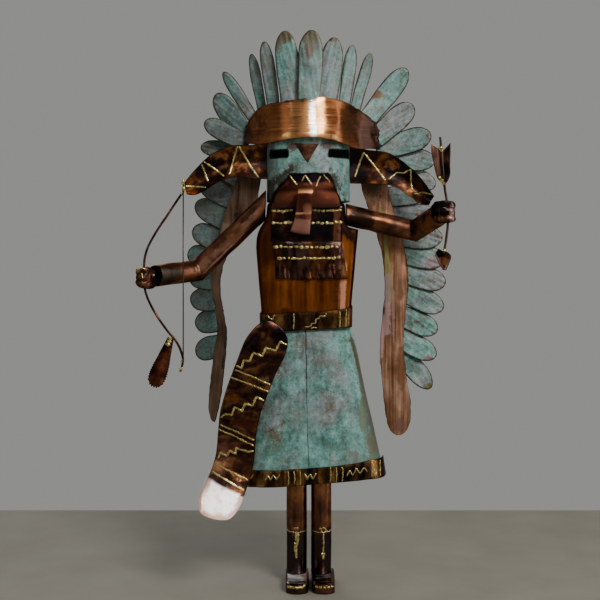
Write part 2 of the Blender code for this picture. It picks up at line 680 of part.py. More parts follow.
def hands():
    hand("hand_bow_side", ((-206, -57.5, 416, 441), (-208.5, -63, 415, 442.5), (-214, -70, 414, 444.5),
                           (-222, -72, 416, 444), (-228.5, -67, 421, 441), (-227.5, -60, 422, 440),
                           (-222.5, -57.5, 422, 440)))
    hand("hand_arrow_side", ((162.5, -60.5, 507, 526), (165, -68, 504, 530), (172, -74.5, 502, 531.5),
                             (183, -76, 502, 532), (191.5, -69, 503.5, 528), (190, -61.5, 505, 527),
                             (183, -58.8, 506, 526)))


BOW = ((-167.5, 559), (-166.5, 545), (-171, 538), (-186, 515), (-200, 494), (-211, 475), (-217, 458),
       (-219, 440), (-218.5, 416), (-212, 397), (-203, 380), (-193, 363), (-182, 349), (-174, 337),
       (-170, 325), (-169, 315), (-173, 303))
BOW_ROD = 1.9
BOW_STRING = 0.95


def bow_y(x):
    """The bow leans forward from its tips to the hand."""
    return -50.0 - 14.0 * (-167.0 - x) / 52.0


def bow():
    rod("bow", [(x, bow_y(x), z) for x, z in through(BOW, 25)], BOW_ROD, FINISH["bow_rod"])
    y = bow_y(-168) - BOW_ROD - BOW_STRING - 2 * GAP
    rod("bowstring", [(-167.0, y, 544.0), (-168.5, y, 316.0)], BOW_STRING, FINISH["bowstring_wire"])
    hang_y = bow_y(-190) - BOW_ROD - LEAF - 2.6
    feather("bow_feather", (-184, hang_y, 349), (-207, hang_y - 2, 284), 24, 0.0, BOW_SHAPE, bend=0.0)


ARROW = ((171.6, 614), (172.7, 600), (176.7, 553), (181, 533), (181.9, 502), (180.1, 483), (177.2, 462))
ARROW_ROD = 1.8
VANE_BOW_SIDE = ((173, 596), (160, 605), (159, 594), (162.3, 580), (165.7, 565), (169, 558.5), (177, 552),
                 (175, 575))
VANE_ARROW_SIDE = ((172.5, 595), (179.5, 601), (184.6, 607), (185, 594), (184.3, 575), (185.6, 564),
                   (180, 553), (176.5, 552), (174, 575))
ARROWHEAD = ((169.7, 467.7), (175.9, 464.8), (181.1, 464.6), (186.5, 460.2), (188.1, 455.8), (180.5, 439.5),
             (176, 439.9), (165.3, 459.3), (166.2, 462.8))


def arrow():
    """Shaft, two vanes and a leaf-shaped head joined into one body."""
    y = -66.5
    shaft = rod("arrow", [(x, y, z) for x, z in through(ARROW, 12)], ARROW_ROD, FINISH["arrow_copper"])
    for name, outline in (("vane_bow_side", VANE_BOW_SIDE), ("vane_arrow_side", VANE_ARROW_SIDE),
                          ("arrowhead", ARROWHEAD)):
        leaf = plate(name, outline, FINISH["arrow_copper"], 1.1, y)
        combine(shaft, as_cutter(leaf), "UNION")
    return shaft


# Assembly ---------------------------------------------------------------------------------------
def clear_scene():
    for existing in list(bpy.data.objects):
        bpy.data.objects.remove(existing)


def collection(name):
    made = bpy.data.collections.new(name)
    bpy.context.scene.collection.children.link(made)
    return made


def match_render_and_view(piece):
    for modifier in piece.modifiers:
        modifier.show_render = modifier.show_viewport


def stand_on_origin(root):
    """Bring the middle of the figure's overall plan onto the origin; its soles are already at Z = 0."""
    view = bpy.context.evaluated_depsgraph_get()
    corners = []
    for piece in FIGURE.objects:
        if piece.type == "MESH":
            shape = piece.evaluated_get(view)
            corners += [shape.matrix_world @ vertex.co for vertex in shape.data.vertices]
    for axis in (0, 1):
        reach = [corner[axis] for corner in corners]
        root.location[axis] = -(min(reach) + max(reach)) / 2


clear_scene()
FIGURE = collection("kachina_sculpture")
CUTTERS = collection("cutters")
CUTTERS.hide_render = True
FINISH = make_finishes()

boot("boot_bow_side", -16.4)
boot("boot_arrow_side", 19.6)
leg("leg_bow_side", -LEG_X)
leg("leg_arrow_side", LEG_X)
skirt()
hem_band()
belt()
sash()
torso()
breastplate_upper()
breastplate_fringe()
mask()
beard()
tongue()
headband()
trailer("trailer_bow_side", TRAILER_BOW)
trailer("trailer_arrow_side", TRAILER_ARROW)
horn("horn_bow_side", HORN_BOW)
horn("horn_arrow_side", HORN_ARROW)
arms()
hands()
bow()
arrow()
crown_feathers()
trailer_feathers()

figure = bpy.data.objects.new("kachina", None)
FIGURE.objects.link(figure)
for piece in list(FIGURE.objects) + list(CUTTERS.objects):
    if piece is not figure:
        piece.parent = figure
        match_render_and_view(piece)
stand_on_origin(figure)
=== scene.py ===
"""Looks of the metal kachina sculpture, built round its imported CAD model.

Lengths are millimetres, measured from the floor between the boots with the figure facing -Y, as in the
part's own source; at() turns them into the frame's metres. Colours are given in thousandths.
"""

import json
from math import copysign, cos, floor, hypot, pi, radians, sin

import bmesh
import bpy
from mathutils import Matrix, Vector, noise
from mathutils.bvhtree import BVHTree
from mathutils.kdtree import KDTree


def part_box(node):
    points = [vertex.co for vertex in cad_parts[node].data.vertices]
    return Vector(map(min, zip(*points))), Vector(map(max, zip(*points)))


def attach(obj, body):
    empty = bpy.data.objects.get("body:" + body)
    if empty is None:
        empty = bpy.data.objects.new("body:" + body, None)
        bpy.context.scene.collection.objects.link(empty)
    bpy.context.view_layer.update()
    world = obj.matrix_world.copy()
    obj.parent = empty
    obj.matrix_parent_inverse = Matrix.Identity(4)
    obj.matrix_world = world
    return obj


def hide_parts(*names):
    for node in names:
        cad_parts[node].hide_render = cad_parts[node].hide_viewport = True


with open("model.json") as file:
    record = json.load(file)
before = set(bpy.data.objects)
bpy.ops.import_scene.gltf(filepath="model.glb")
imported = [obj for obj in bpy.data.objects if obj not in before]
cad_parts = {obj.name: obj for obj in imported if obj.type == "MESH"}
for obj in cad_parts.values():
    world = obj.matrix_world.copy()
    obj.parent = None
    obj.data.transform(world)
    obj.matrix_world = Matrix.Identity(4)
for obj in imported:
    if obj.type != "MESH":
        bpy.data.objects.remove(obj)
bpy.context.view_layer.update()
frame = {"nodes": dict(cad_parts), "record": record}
NODES = frame["nodes"]
SLOT_OF = {part["node"]: part["material_slot"] for part in frame["record"]["subparts"]}

# noise_vector() takes its start from the clock unless it is given one.
NOISE_SEED = 8
noise.seed_set(NOISE_SEED)

MM = 0.001
BOW_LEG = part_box("leg_bow_side")
ARROW_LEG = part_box("leg_arrow_side")
FOOT = Vector(((BOW_LEG[0].x + ARROW_LEG[1].x) / 2, (BOW_LEG[0].y + BOW_LEG[1].y) / 2, 0))
TOWARD_VIEWER = Vector((0, -1, 0))


def at(x, y, z):
    return FOOT + Vector((x, y, z)) * MM


def local(point):
    """A point of the row frame in millimetres from the figure's foot."""
    return (point - FOOT) / MM


def clamp(share):
    return min(max(share, 0), 1)


def chance(seed):
    """A fixed pseudo-random number from -1 to 1."""
    value = sin(seed * 127.1 + 11.7) * 43758.5453
    return (value - floor(value)) * 2 - 1


def add_object(name, data):
    thing = bpy.data.objects.new(name, data)
    bpy.context.scene.collection.objects.link(thing)
    return thing


def add_faces(name, corners, faces):
    mesh = bpy.data.meshes.new(name)
    mesh.from_pydata(corners, [], faces)
    return add_object(name, mesh)


def add_work(name, work):
    mesh = bpy.data.meshes.new(name)
    work.to_mesh(mesh)
    work.free()
    return add_object(name, mesh)


# --- Material nodes
MATERIALS = {}
COPPER_EDGE = (450, 330, 270)
DARK_RIM = (22, 16, 8)
LEAF_RIM = (60, 43, 20)
OLIVE = (70, 60, 20)
BROWN = (150, 70, 35)
# Colours of painted highlights: near white in the middle, rosy towards the rims.
HIGHLIGHT_WHITE = (970, 950, 910)
HIGHLIGHT_ROSE = (540, 280, 180)


def rgba(colour):
    return (*(c / 1000 for c in colour), 1.0)


class Nodes:
    """A node tree that is strung together call by call."""

    def __init__(self, tree):
        self.nodes = tree.nodes
        self.links = tree.links

    def feed(self, socket, value):
        if isinstance(value, bpy.types.NodeSocket):
            self.links.new(value, socket)
        elif isinstance(value, tuple) and len(value) < len(socket.default_value):
            socket.default_value = rgba(value)
        else:
            socket.default_value = value

    def add(self, kind, **inputs):
        """A new node with its inputs filled; an underscore stands for a space in an input's name."""
        node = self.nodes.new("ShaderNode" + kind)
        for name, value in inputs.items():
            self.feed(node.inputs[name.replace("_", " ")], value)
        return node

    def ramp(self, fac, stops):
        """A colour ramp through rows of (percent, red, green, blue)."""
        node = self.add("ValToRGB", Fac=fac)
        elements = node.color_ramp.elements
        while len(elements) < len(stops):
            elements.new(0.5)
        for element, (percent, *colour) in zip(elements, stops):
            element.position = percent / 100
            element.color = rgba(colour)
        return node.outputs["Color"]

    def level(self, fac, low, high, to_low=0.0, to_high=1.0):
        """A soft step from low to high."""
        node = self.add("MapRange", Value=fac, From_Min=low, From_Max=high, To_Min=to_low, To_Max=to_high)
        node.interpolation_type = "SMOOTHSTEP"
        return node.outputs["Result"]

    def sum(self, a, b, operation="ADD"):
        node = self.add("Math")
        node.operation = operation
        self.feed(node.inputs[0], a)
        self.feed(node.inputs[1], b)
        return node.outputs[0]

    def times(self, a, b):
        return self.sum(a, b, "MULTIPLY")

    def mixed(self, a, share_a, b, share_b):
        return self.sum(self.times(a, share_a), self.times(b, share_b))

    def blend(self, fac, a, b):
        node = self.add("Mix")
        node.data_type = "RGBA"
        for index, value in ((0, fac), (6, a), (7, b)):
            self.feed(node.inputs[index], value)
        return node.outputs[2]


class Shades(Nodes):
    """The nodes of one material."""

    def __init__(self, name, roughness, metallic, coat=0.0, coat_roughness=0.15):
        self.material = MATERIALS[name] = bpy.data.materials.new(name)
        self.material.use_nodes = True
        super().__init__(self.material.node_tree)
        self.shader = self.nodes["Principled BSDF"].inputs
        self.put("Roughness", roughness)
        self.put("Metallic", metallic)
        if metallic == 1.0:
            self.put("Specular Tint", COPPER_EDGE)
        self.put("Coat Weight", coat)
        self.put("Coat Roughness", coat_roughness)
        self.place = self.add("TexCoord").outputs["Object"]

    def put(self, name, value):
        """Fill an input of the material's shader."""
        self.feed(self.shader[name], value)

    def attribute(self, name, output="Fac"):
        reader = self.add("Attribute")
        reader.attribute_name = name
        return reader.outputs[output]

    def noise(self, scale, stretch=(1, 1, 1), detail=4.0, rough=0.55, swirl=0.0, shift=0.0, source=None):
        mapping = self.add("Mapping", Vector=source or self.place, Scale=stretch,
                           Location=(shift, shift * 0.7, shift * 1.3))
        texture = self.add("TexNoise", Vector=mapping.outputs[0], Scale=scale, Detail=detail,
                           Roughness=rough, Distortion=swirl)
        return texture.outputs["Fac"]

    def torn(self, name, ragged, depth, low, high):
        """An attribute's patches, torn at their edges by a noise."""
        loose = self.times(self.sum(ragged, 0.5, "SUBTRACT"), depth)
        return self.level(self.sum(self.attribute(name), loose), low, high)

    def marked(self, colour, ragged):
        """Colour with a piece's own marks laid over it."""
        amount = self.torn("mark_amount", ragged, 1.5, 0.28, 0.62)
        return self.blend(amount, colour, self.attribute("mark_colour", "Color"))

    def gleam(self, colour, ragged):
        """Painted highlights: patches turned pale and less metallic, so that they stay bright whatever the
        metal around them reflects.
        """
        amount = self.torn("gleam", ragged, 0.7, 0.15, 0.85)
        self.put("Metallic", self.sum(1.0, self.times(amount, 0.85), "SUBTRACT"))
        highlight_breakup = self.noise(55, detail=4, shift=14.2)
        near_rim = self.sum(self.level(self.attribute("rim"), 0.0, 11.0, 0.40, 0.0), highlight_breakup)
        highlight_colour = self.blend(self.level(near_rim, 0.50, 0.74, 0, 0.85), HIGHLIGHT_WHITE, HIGHLIGHT_ROSE)
        return self.blend(amount, colour, highlight_colour)

    def bump(self, *layers):
        """Relief from (height, depth) layers."""
        normal = None
        for height, depth in layers:
            node = self.add("Bump", Strength=1.0, Distance=depth * MM, Height=height)
            if normal is not None:
                self.feed(node.inputs["Normal"], normal)
            normal = node.outputs["Normal"]
        self.put("Normal", normal)


def verdigris(name, leaf=False, lift=1.0, green=1.0, stained=0.0):
    """Matt blue-green patina rubbed through to brown copper in places, dark along its edges."""
    paint = Shades(name, 0.55, 0.0, 0.10, 0.35)
    source = paint.attribute("leaf", "Vector") if leaf else paint.place
    unit = 0.001 if leaf else 1.0

    def grain(scale, detail, rough, shift=0.0):
        return paint.noise(scale * unit, detail=detail, rough=rough, shift=shift, source=source)

    def tinted(*stops):
        return [(percent, r * lift, g * lift * green, b * lift * green * 1.06) for percent, r, g, b in stops]

    cloud = grain(46, 7, 0.68)
    patch = grain(170, 6, 0.72, 3.1)
    if leaf:
        streak = paint.noise(1.0, stretch=(0.30, 0.030, 0.02), detail=5, rough=0.6, source=source)
    else:
        streak = paint.noise(1.0, stretch=(150, 150, 34), detail=4, rough=0.6)
    body = paint.sum(paint.mixed(cloud, 0.42, patch, 0.36), paint.times(streak, 0.22))
    green_side = paint.ramp(body, tinted((38, 34, 95, 68), (44.5, 72, 185, 142), (50, 118, 285, 230),
                                         (55.5, 190, 390, 325), (66, 360, 530, 465)))
    grey_side = paint.ramp(body, tinted((38, 62, 88, 74), (44.5, 115, 150, 134), (50, 180, 224, 204),
                                        (55.5, 250, 298, 276), (66, 390, 440, 415)))
    colour = paint.blend(paint.level(grain(17, 5, 0.6, 21.4), 0.40, 0.60), green_side, grey_side)
    rubbed = grain(36, 7, 0.68, 7.7)
    colour = paint.blend(paint.level(rubbed, 0.52, 0.66, 0, 0.60), colour, (150, 140, 105))
    worn = grain(80, 6, 0.7, 12.3)
    bare = paint.level(worn, 0.59 - stained, 0.70 - stained, 0, 0.78)
    colour = paint.blend(bare, colour, BROWN)
    speck = grain(420, 3, 0.6, 1.7)
    colour = paint.blend(paint.level(speck, 0.58, 0.70, 0, 0.75), colour, (34, 40, 26))
    pale = grain(260, 3, 0.55, 4.4)
    colour = paint.blend(paint.level(pale, 0.60, 0.74, 0, 0.35), colour, (420, 520, 470))
    ragged = paint.sum(paint.attribute("stain"), paint.times(patch, 0.9))
    colour = paint.blend(paint.level(ragged, 0.72, 1.0), colour,
                         paint.ramp(worn, ((35, *OLIVE), (62, 200, 85, 25))))
    colour = paint.marked(colour, paint.mixed(worn, 0.55, speck, 0.45))
    rim = paint.sum(paint.attribute("rim"), paint.times(speck, 2.6), "SUBTRACT")
    edge = paint.level(rim, -0.7, 1.05 if leaf else 0.75, 1, 0)
    paint.put("Base Color", paint.blend(edge, colour, LEAF_RIM if leaf else DARK_RIM))
    paint.put("Metallic", paint.sum(paint.times(bare, 0.6), edge, "MAXIMUM"))
    paint.put("Roughness", paint.level(body, 0.4, 0.65, 0.40, 0.64))
    rolled = paint.level(paint.attribute("rim"), 0.0, 3.2)
    paint.bump((rolled, 0.55 if leaf else 0.3), (streak, 0.4), (speck, 0.2), (worn, 0.35))


FLAMES = ((36, 10, 8, 11), (46, 26, 13, 10), (52, 70, 22, 11), (57, 190, 62, 18), (63, 380, 145, 38),
          (72, 500, 240, 70))
EMBERS = ((36, 26, 14, 12), (46, 70, 28, 18), (52, 130, 48, 25), (57, 215, 80, 35), (63, 340, 140, 55),
          (72, 420, 220, 85))
BANDS = ((38, 16, 10, 10), (46, 66, 34, 18), (52, 160, 72, 26), (57, 320, 150, 45), (63, 460, 270, 75),
         (72, 560, 400, 130))


def torched(name, scale=34, heat=0.0, streaks=(1, 1, 1), pink=0.0, has_painted_highlights=False, stops=FLAMES):
    """Lacquered copper coloured by the torch, from near black through red-brown to orange and gold."""
    paint = Shades(name, 0.3, 1.0, 0.12, 0.12)
    flow = paint.noise(scale, stretch=streaks, detail=4, rough=0.5, swirl=0.9, shift=heat * 9)
    fine = paint.noise(scale * 3.2, stretch=streaks, detail=4, swirl=0.4, shift=2.2)
    colour = paint.ramp(paint.sum(paint.mixed(flow, 0.78, fine, 0.22), heat), stops)
    if pink:
        bloom = paint.noise(48, stretch=(1, 1, 0.35), detail=3, shift=5.1)
        colour = paint.blend(paint.level(bloom, 0.52, 0.66, 0, pink), colour, (200, 85, 65))
    dust = paint.noise(190, detail=5, rough=0.7, shift=8.8)
    colour = paint.blend(paint.level(dust, 0.58, 0.72, 0, 0.6), colour, (30, 18, 12))
    colour = paint.marked(colour, dust)
    edge = paint.level(paint.attribute("rim"), 0.3, 1.5, 0.75, 0)
    colour = paint.blend(edge, colour, DARK_RIM)
    # Painted highlights on the patches listed for this piece, where the finish takes them.
    paint.put("Base Color", paint.gleam(colour, flow) if has_painted_highlights else colour)
    paint.put("Roughness", paint.level(dust, 0.3, 0.7, 0.26, 0.42))
    paint.bump((paint.noise(55, detail=3, shift=6.1), 0.55), (paint.noise(600, detail=2), 0.04))


def copper(name, stops, grain, rough=(0.24, 0.4), coat=0.25, dust=0.5, waves=0.35, cloudy=16, has_painted_highlights=False):
    """Brown or bright copper; stops colour it and grain is the stretch of its rolled or brushed lines."""
    paint = Shades(name, 0.3, 1.0, coat, 0.12)
    cloud = paint.noise(cloudy, detail=4, shift=1.3)
    lines = paint.noise(1.0, stretch=grain, detail=4, rough=0.6)
    colour = paint.ramp(paint.mixed(cloud, 0.55, lines, 0.45), stops)
    spots = paint.noise(150, detail=5, rough=0.72, shift=3.9)
    colour = paint.blend(paint.level(spots, 0.58, 0.72, 0, dust), colour, (22, 12, 10))
    colour = paint.marked(colour, paint.mixed(spots, 0.5, lines, 0.5))
    edge = paint.level(paint.attribute("rim"), 0.2, 1.3, 0.7, 0)
    colour = paint.blend(edge, colour, DARK_RIM)
    # Painted highlights on the patches listed for this piece, where the finish takes them.
    paint.put("Base Color", paint.gleam(colour, lines) if has_painted_highlights else colour)
    paint.put("Roughness", paint.level(lines, 0.35, 0.65, *rough))
    paint.bump((paint.noise(38, detail=2, shift=2.7), waves), (lines, 0.05))


def brass(name, shine=1.0):
    """Melted brass, yellow where it is rubbed and dark between."""
    paint = Shades(name, 0.3, 0.8, 0.2, 0.2)
    patch = paint.noise(260, detail=4, rough=0.65)
    stops = (30, 140, 95, 28), (42, 460, 340, 90), (54, 840, 680, 230), (70, 950, 860, 450)
    paint.put("Base Color", paint.ramp(patch, [(row[0], *(c * shine for c in row[1:])) for row in stops]))
    paint.put("Roughness", paint.level(patch, 0.3, 0.7, 0.42, 0.22))
    paint.bump((paint.noise(500, detail=2), 0.12))


PIPE = (36, 60, 26, 18), (46, 175, 68, 34), (54, 320, 120, 52), (64, 500, 210, 90)
ARM = (38, 56, 25, 18), (47, 150, 60, 34), (54, 270, 105, 52), (64, 500, 220, 110)
WARM = (36, 110, 27, 4), (46, 215, 58, 8), (55, 310, 92, 14), (66, 460, 165, 35)
ORANGE = (36, 200, 66, 22), (46, 290, 95, 30), (54, 390, 138, 46), (64, 560, 250, 100)
DULL = (38, 190, 80, 35), (46, 390, 175, 88), (53, 600, 300, 175), (60, 860, 520, 360)
UMBER = (36, 90, 48, 28), (46, 190, 110, 66), (54, 290, 175, 110), (64, 420, 270, 180)
DARK = (36, 16, 9, 8), (46, 50, 22, 14), (54, 110, 45, 24), (64, 200, 80, 35)
RED = (36, 40, 10, 8), (46, 105, 26, 15), (54, 185, 52, 24), (64, 340, 120, 55)
MAROON = (36, 22, 7, 6), (46, 58, 16, 10), (54, 105, 30, 16), (64, 200, 70, 34)


def make_materials():
    # Finishes whose painted-highlight flag is set True carry the painted highlights listed further down.
    copper("boot_brown", DARK, (40, 120, 120), (0.14, 0.28), 0.4, has_painted_highlights=True)
    copper("leg_brown", PIPE, (160, 160, 14), (0.2, 0.34), cloudy=40)
    verdigris("skirt_verdigris", lift=1.16)
    torched("hem_torched", 36, 0.02, (1.4, 1.4, 0.5), stops=BANDS)
    torched("belt_torched", 36, 0.005, (1.3, 1.3, 0.5), stops=BANDS)
    torched("sash_torched", 42, 0.02, (0.8, 0.8, 1.5), has_painted_highlights=True, stops=EMBERS)
    copper("torso_copper", WARM, (120, 120, 7), (0.42, 0.56), 0.0, dust=0.35, has_painted_highlights=True)
    torched("breast_torched", 26, -0.08)
    torched("fringe_torched", 26, -0.04, (1, 1, 0.5), 0.6)
    verdigris("mask_verdigris", lift=1.18, green=1.02, stained=0.02)
    copper("beard_red", MAROON, (90, 90, 30), (0.46, 0.62), 0.0, 0.85, 0.7, 60)
    copper("tongue_copper", RED, (110, 110, 10), (0.3, 0.45))
    copper("headband_copper", ORANGE, (5, 5, 330), (0.25, 0.34), 0.1, 0.1, 0.04, 22)
    copper("trailer_copper", DULL, (260, 260, 6), (0.34, 0.48), dust=0.3)
    # A darker, browner copy of the trailer copper: painted shade for the strip on the side away from the
    # light.
    copper("trailer_brown", UMBER, (200, 200, 6), (0.34, 0.48), dust=0.4)
    torched("horn_torched", 34, 0.002)
    copper("arm_copper", ARM, (30, 120, 30), (0.32, 0.48), 0.06, cloudy=38, has_painted_highlights=True)
    copper("hand_copper", DARK, (60, 60, 60), (0.34, 0.50), 0.1, cloudy=90, has_painted_highlights=True)
    copper("bow_rod", DARK, (60, 60, 30), (0.26, 0.42), dust=0.2, cloudy=24)
    copper("bowstring_wire", DARK, (60, 60, 30), (0.35, 0.5))
    copper("arrow_copper", DARK, (90, 90, 20), (0.22, 0.38), cloudy=60)
    verdigris("feather_verdigris", leaf=True, lift=0.84, green=0.97)
    # A paler copy of the leaf patina: painted light for the leaves on the lit side.
    verdigris("feather_pale", leaf=True, lift=1.25, green=0.90, stained=0.025)
    brass("brazing_brass")
    brass("dull_brass", 0.74)
    copper("nose_copper", DARK, (60, 60, 20), (0.44, 0.58), 0.1, cloudy=90)
    copper("skirt_seam", DARK, (60, 60, 60), (0.5, 0.7))
    copper("torched_leaf", RED, (60, 60, 60), (0.3, 0.46), 0.1, cloudy=60)
    verdigris("feather_shaded", leaf=True, lift=0.72, green=0.96, stained=0.03)


# --- Camera, light and floor
LIGHTS = (  # name, place, target, width and height, watts, spread in degrees; all lengths in metres
    ("key", (1.0, -1.7, 1.75), (0.0, 0.0, 0.42), (0.8, 0.8), 37, 180),
    ("band_light", (0.276, -1.9, 1.296), (0.023, -0.05, 0.645), (0.15, 0.36), 0.020, 3.5),
    ("front_fill", (-0.18, -1.95, 1.30), (0.0, -0.05, 0.5), (0.9, 0.5), 1.1, 180),
    ("side", (1.7, -0.55, 0.75), (0.05, 0.0, 0.42), (0.35, 1.5), 6, 180),
    ("left_fill", (-1.6, -1.0, 0.9), (0.0, 0.0, 0.45), (0.6, 1.2), 2.6, 180),
    ("sash_light", (-0.45, -1.3, 0.30), (-0.108, -0.065, 0.130), (0.04, 0.04), 0.016, 3),
    ("rear", (-0.9, 1.9, 1.6), (0.0, 0.0, 0.42), (1.2, 1.2), 11, 180),
)
FLOOR_CORNERS = ((-3.0, -2.6, 0), (3.0, -2.6, 0), (3.0, 0.42, 0), (-3.0, 0.42, 0))


def make_camera():
    lens = bpy.data.cameras.new("camera")
    lens.sensor_width = 36
    lens.lens = 69.8
    camera = add_object("camera", lens)
    camera.location = at(-12.4, -1600, 499)
    camera.rotation_euler = (radians(86.31), 0, 0)
    bpy.context.scene.camera = camera


def make_surroundings():
    world = bpy.context.scene.world = bpy.data.worlds.new("studio")
    world.use_nodes = True
    sky = Nodes(world.node_tree)
    split = sky.add("SeparateXYZ", Vector=sky.add("TexCoord").outputs["Generated"])
    glow = sky.level(split.outputs["Y"], -0.9, 0.75)
    backdrop = sky.nodes["Background"].inputs
    sky.feed(backdrop["Color"], sky.ramp(glow, ((0, 45, 45, 47), (100, 285, 285, 278))))
    backdrop["Strength"].default_value = 1.0

    for name, place, target, size, watts, spread in LIGHTS:
        light = bpy.data.lights.new(name, "AREA")
        light.shape = "RECTANGLE"
        light.size, light.size_y = size
        light.energy = watts
        light.spread = radians(spread)
        box = add_object(name, light)
        box.location = place
        box.rotation_euler = (Vector(target) - Vector(place)).to_track_quat("-Z", "Y").to_euler()

    floor = add_faces("floor", FLOOR_CORNERS, [(0, 1, 2, 3)])
    paint = Shades("floor_pale", 0.7, 0.0)
    paint.put("Base Color", paint.ramp(paint.noise(9, detail=5), ((30, 255, 237, 185), (70, 300, 282, 226))))
    floor.data.materials.append(paint.material)


# --- Marks, some of them painted shade and highlights, and painted highlights
def spot(x, z, half_x, half_z):
    """An oval, seen from the front."""
    return lambda p: max(0.0, 1 - ((p.x - x) / half_x) ** 2 - ((p.z - z) / half_z) ** 2)


def under(x0, z0, x1, z1, soft):
    """All below a line."""
    return lambda p: clamp((z0 + (z1 - z0) * (p.x - x0) / (x1 - x0) - p.z) / soft + 0.5)


def strip(x0, z0, x1, z1, half, soft):
    """A stripe of the given half width along a line."""
    length = hypot(x1 - x0, z1 - z0)
    ux, uz = (x1 - x0) / length, (z1 - z0) / length

    def share(p):
        along = (p.x - x0) * ux + (p.z - z0) * uz
        off = abs((p.x - x0) * uz - (p.z - z0) * ux)
        end = max(0.0, -along, along - length)
        return clamp((half + soft / 2 - hypot(off, end)) / soft)

    return share


SHAPES = {4: spot, 5: under, 6: strip}  # by how many numbers they take
MASK_MARKS_END = -12


def groups(text):
    """Rows of words, by the single word that heads each group."""
    table = {}
    for words in map(str.split, text.strip().splitlines()):
        if len(words) > 1:
            rows.append(words)
        else:
            rows = table[words[0]] = []
    return table


def read_mark(row, tail):
    """A mark's shape, strength and colour; the last tail numbers are percent and thousandths."""
    *numbers, percent, red, green, blue = [float(word) for word in row] + [0.0] * (4 - tail)
    return SHAPES[len(numbers)](*numbers), percent / 100, Vector((red / 1000, green / 1000, blue / 1000))
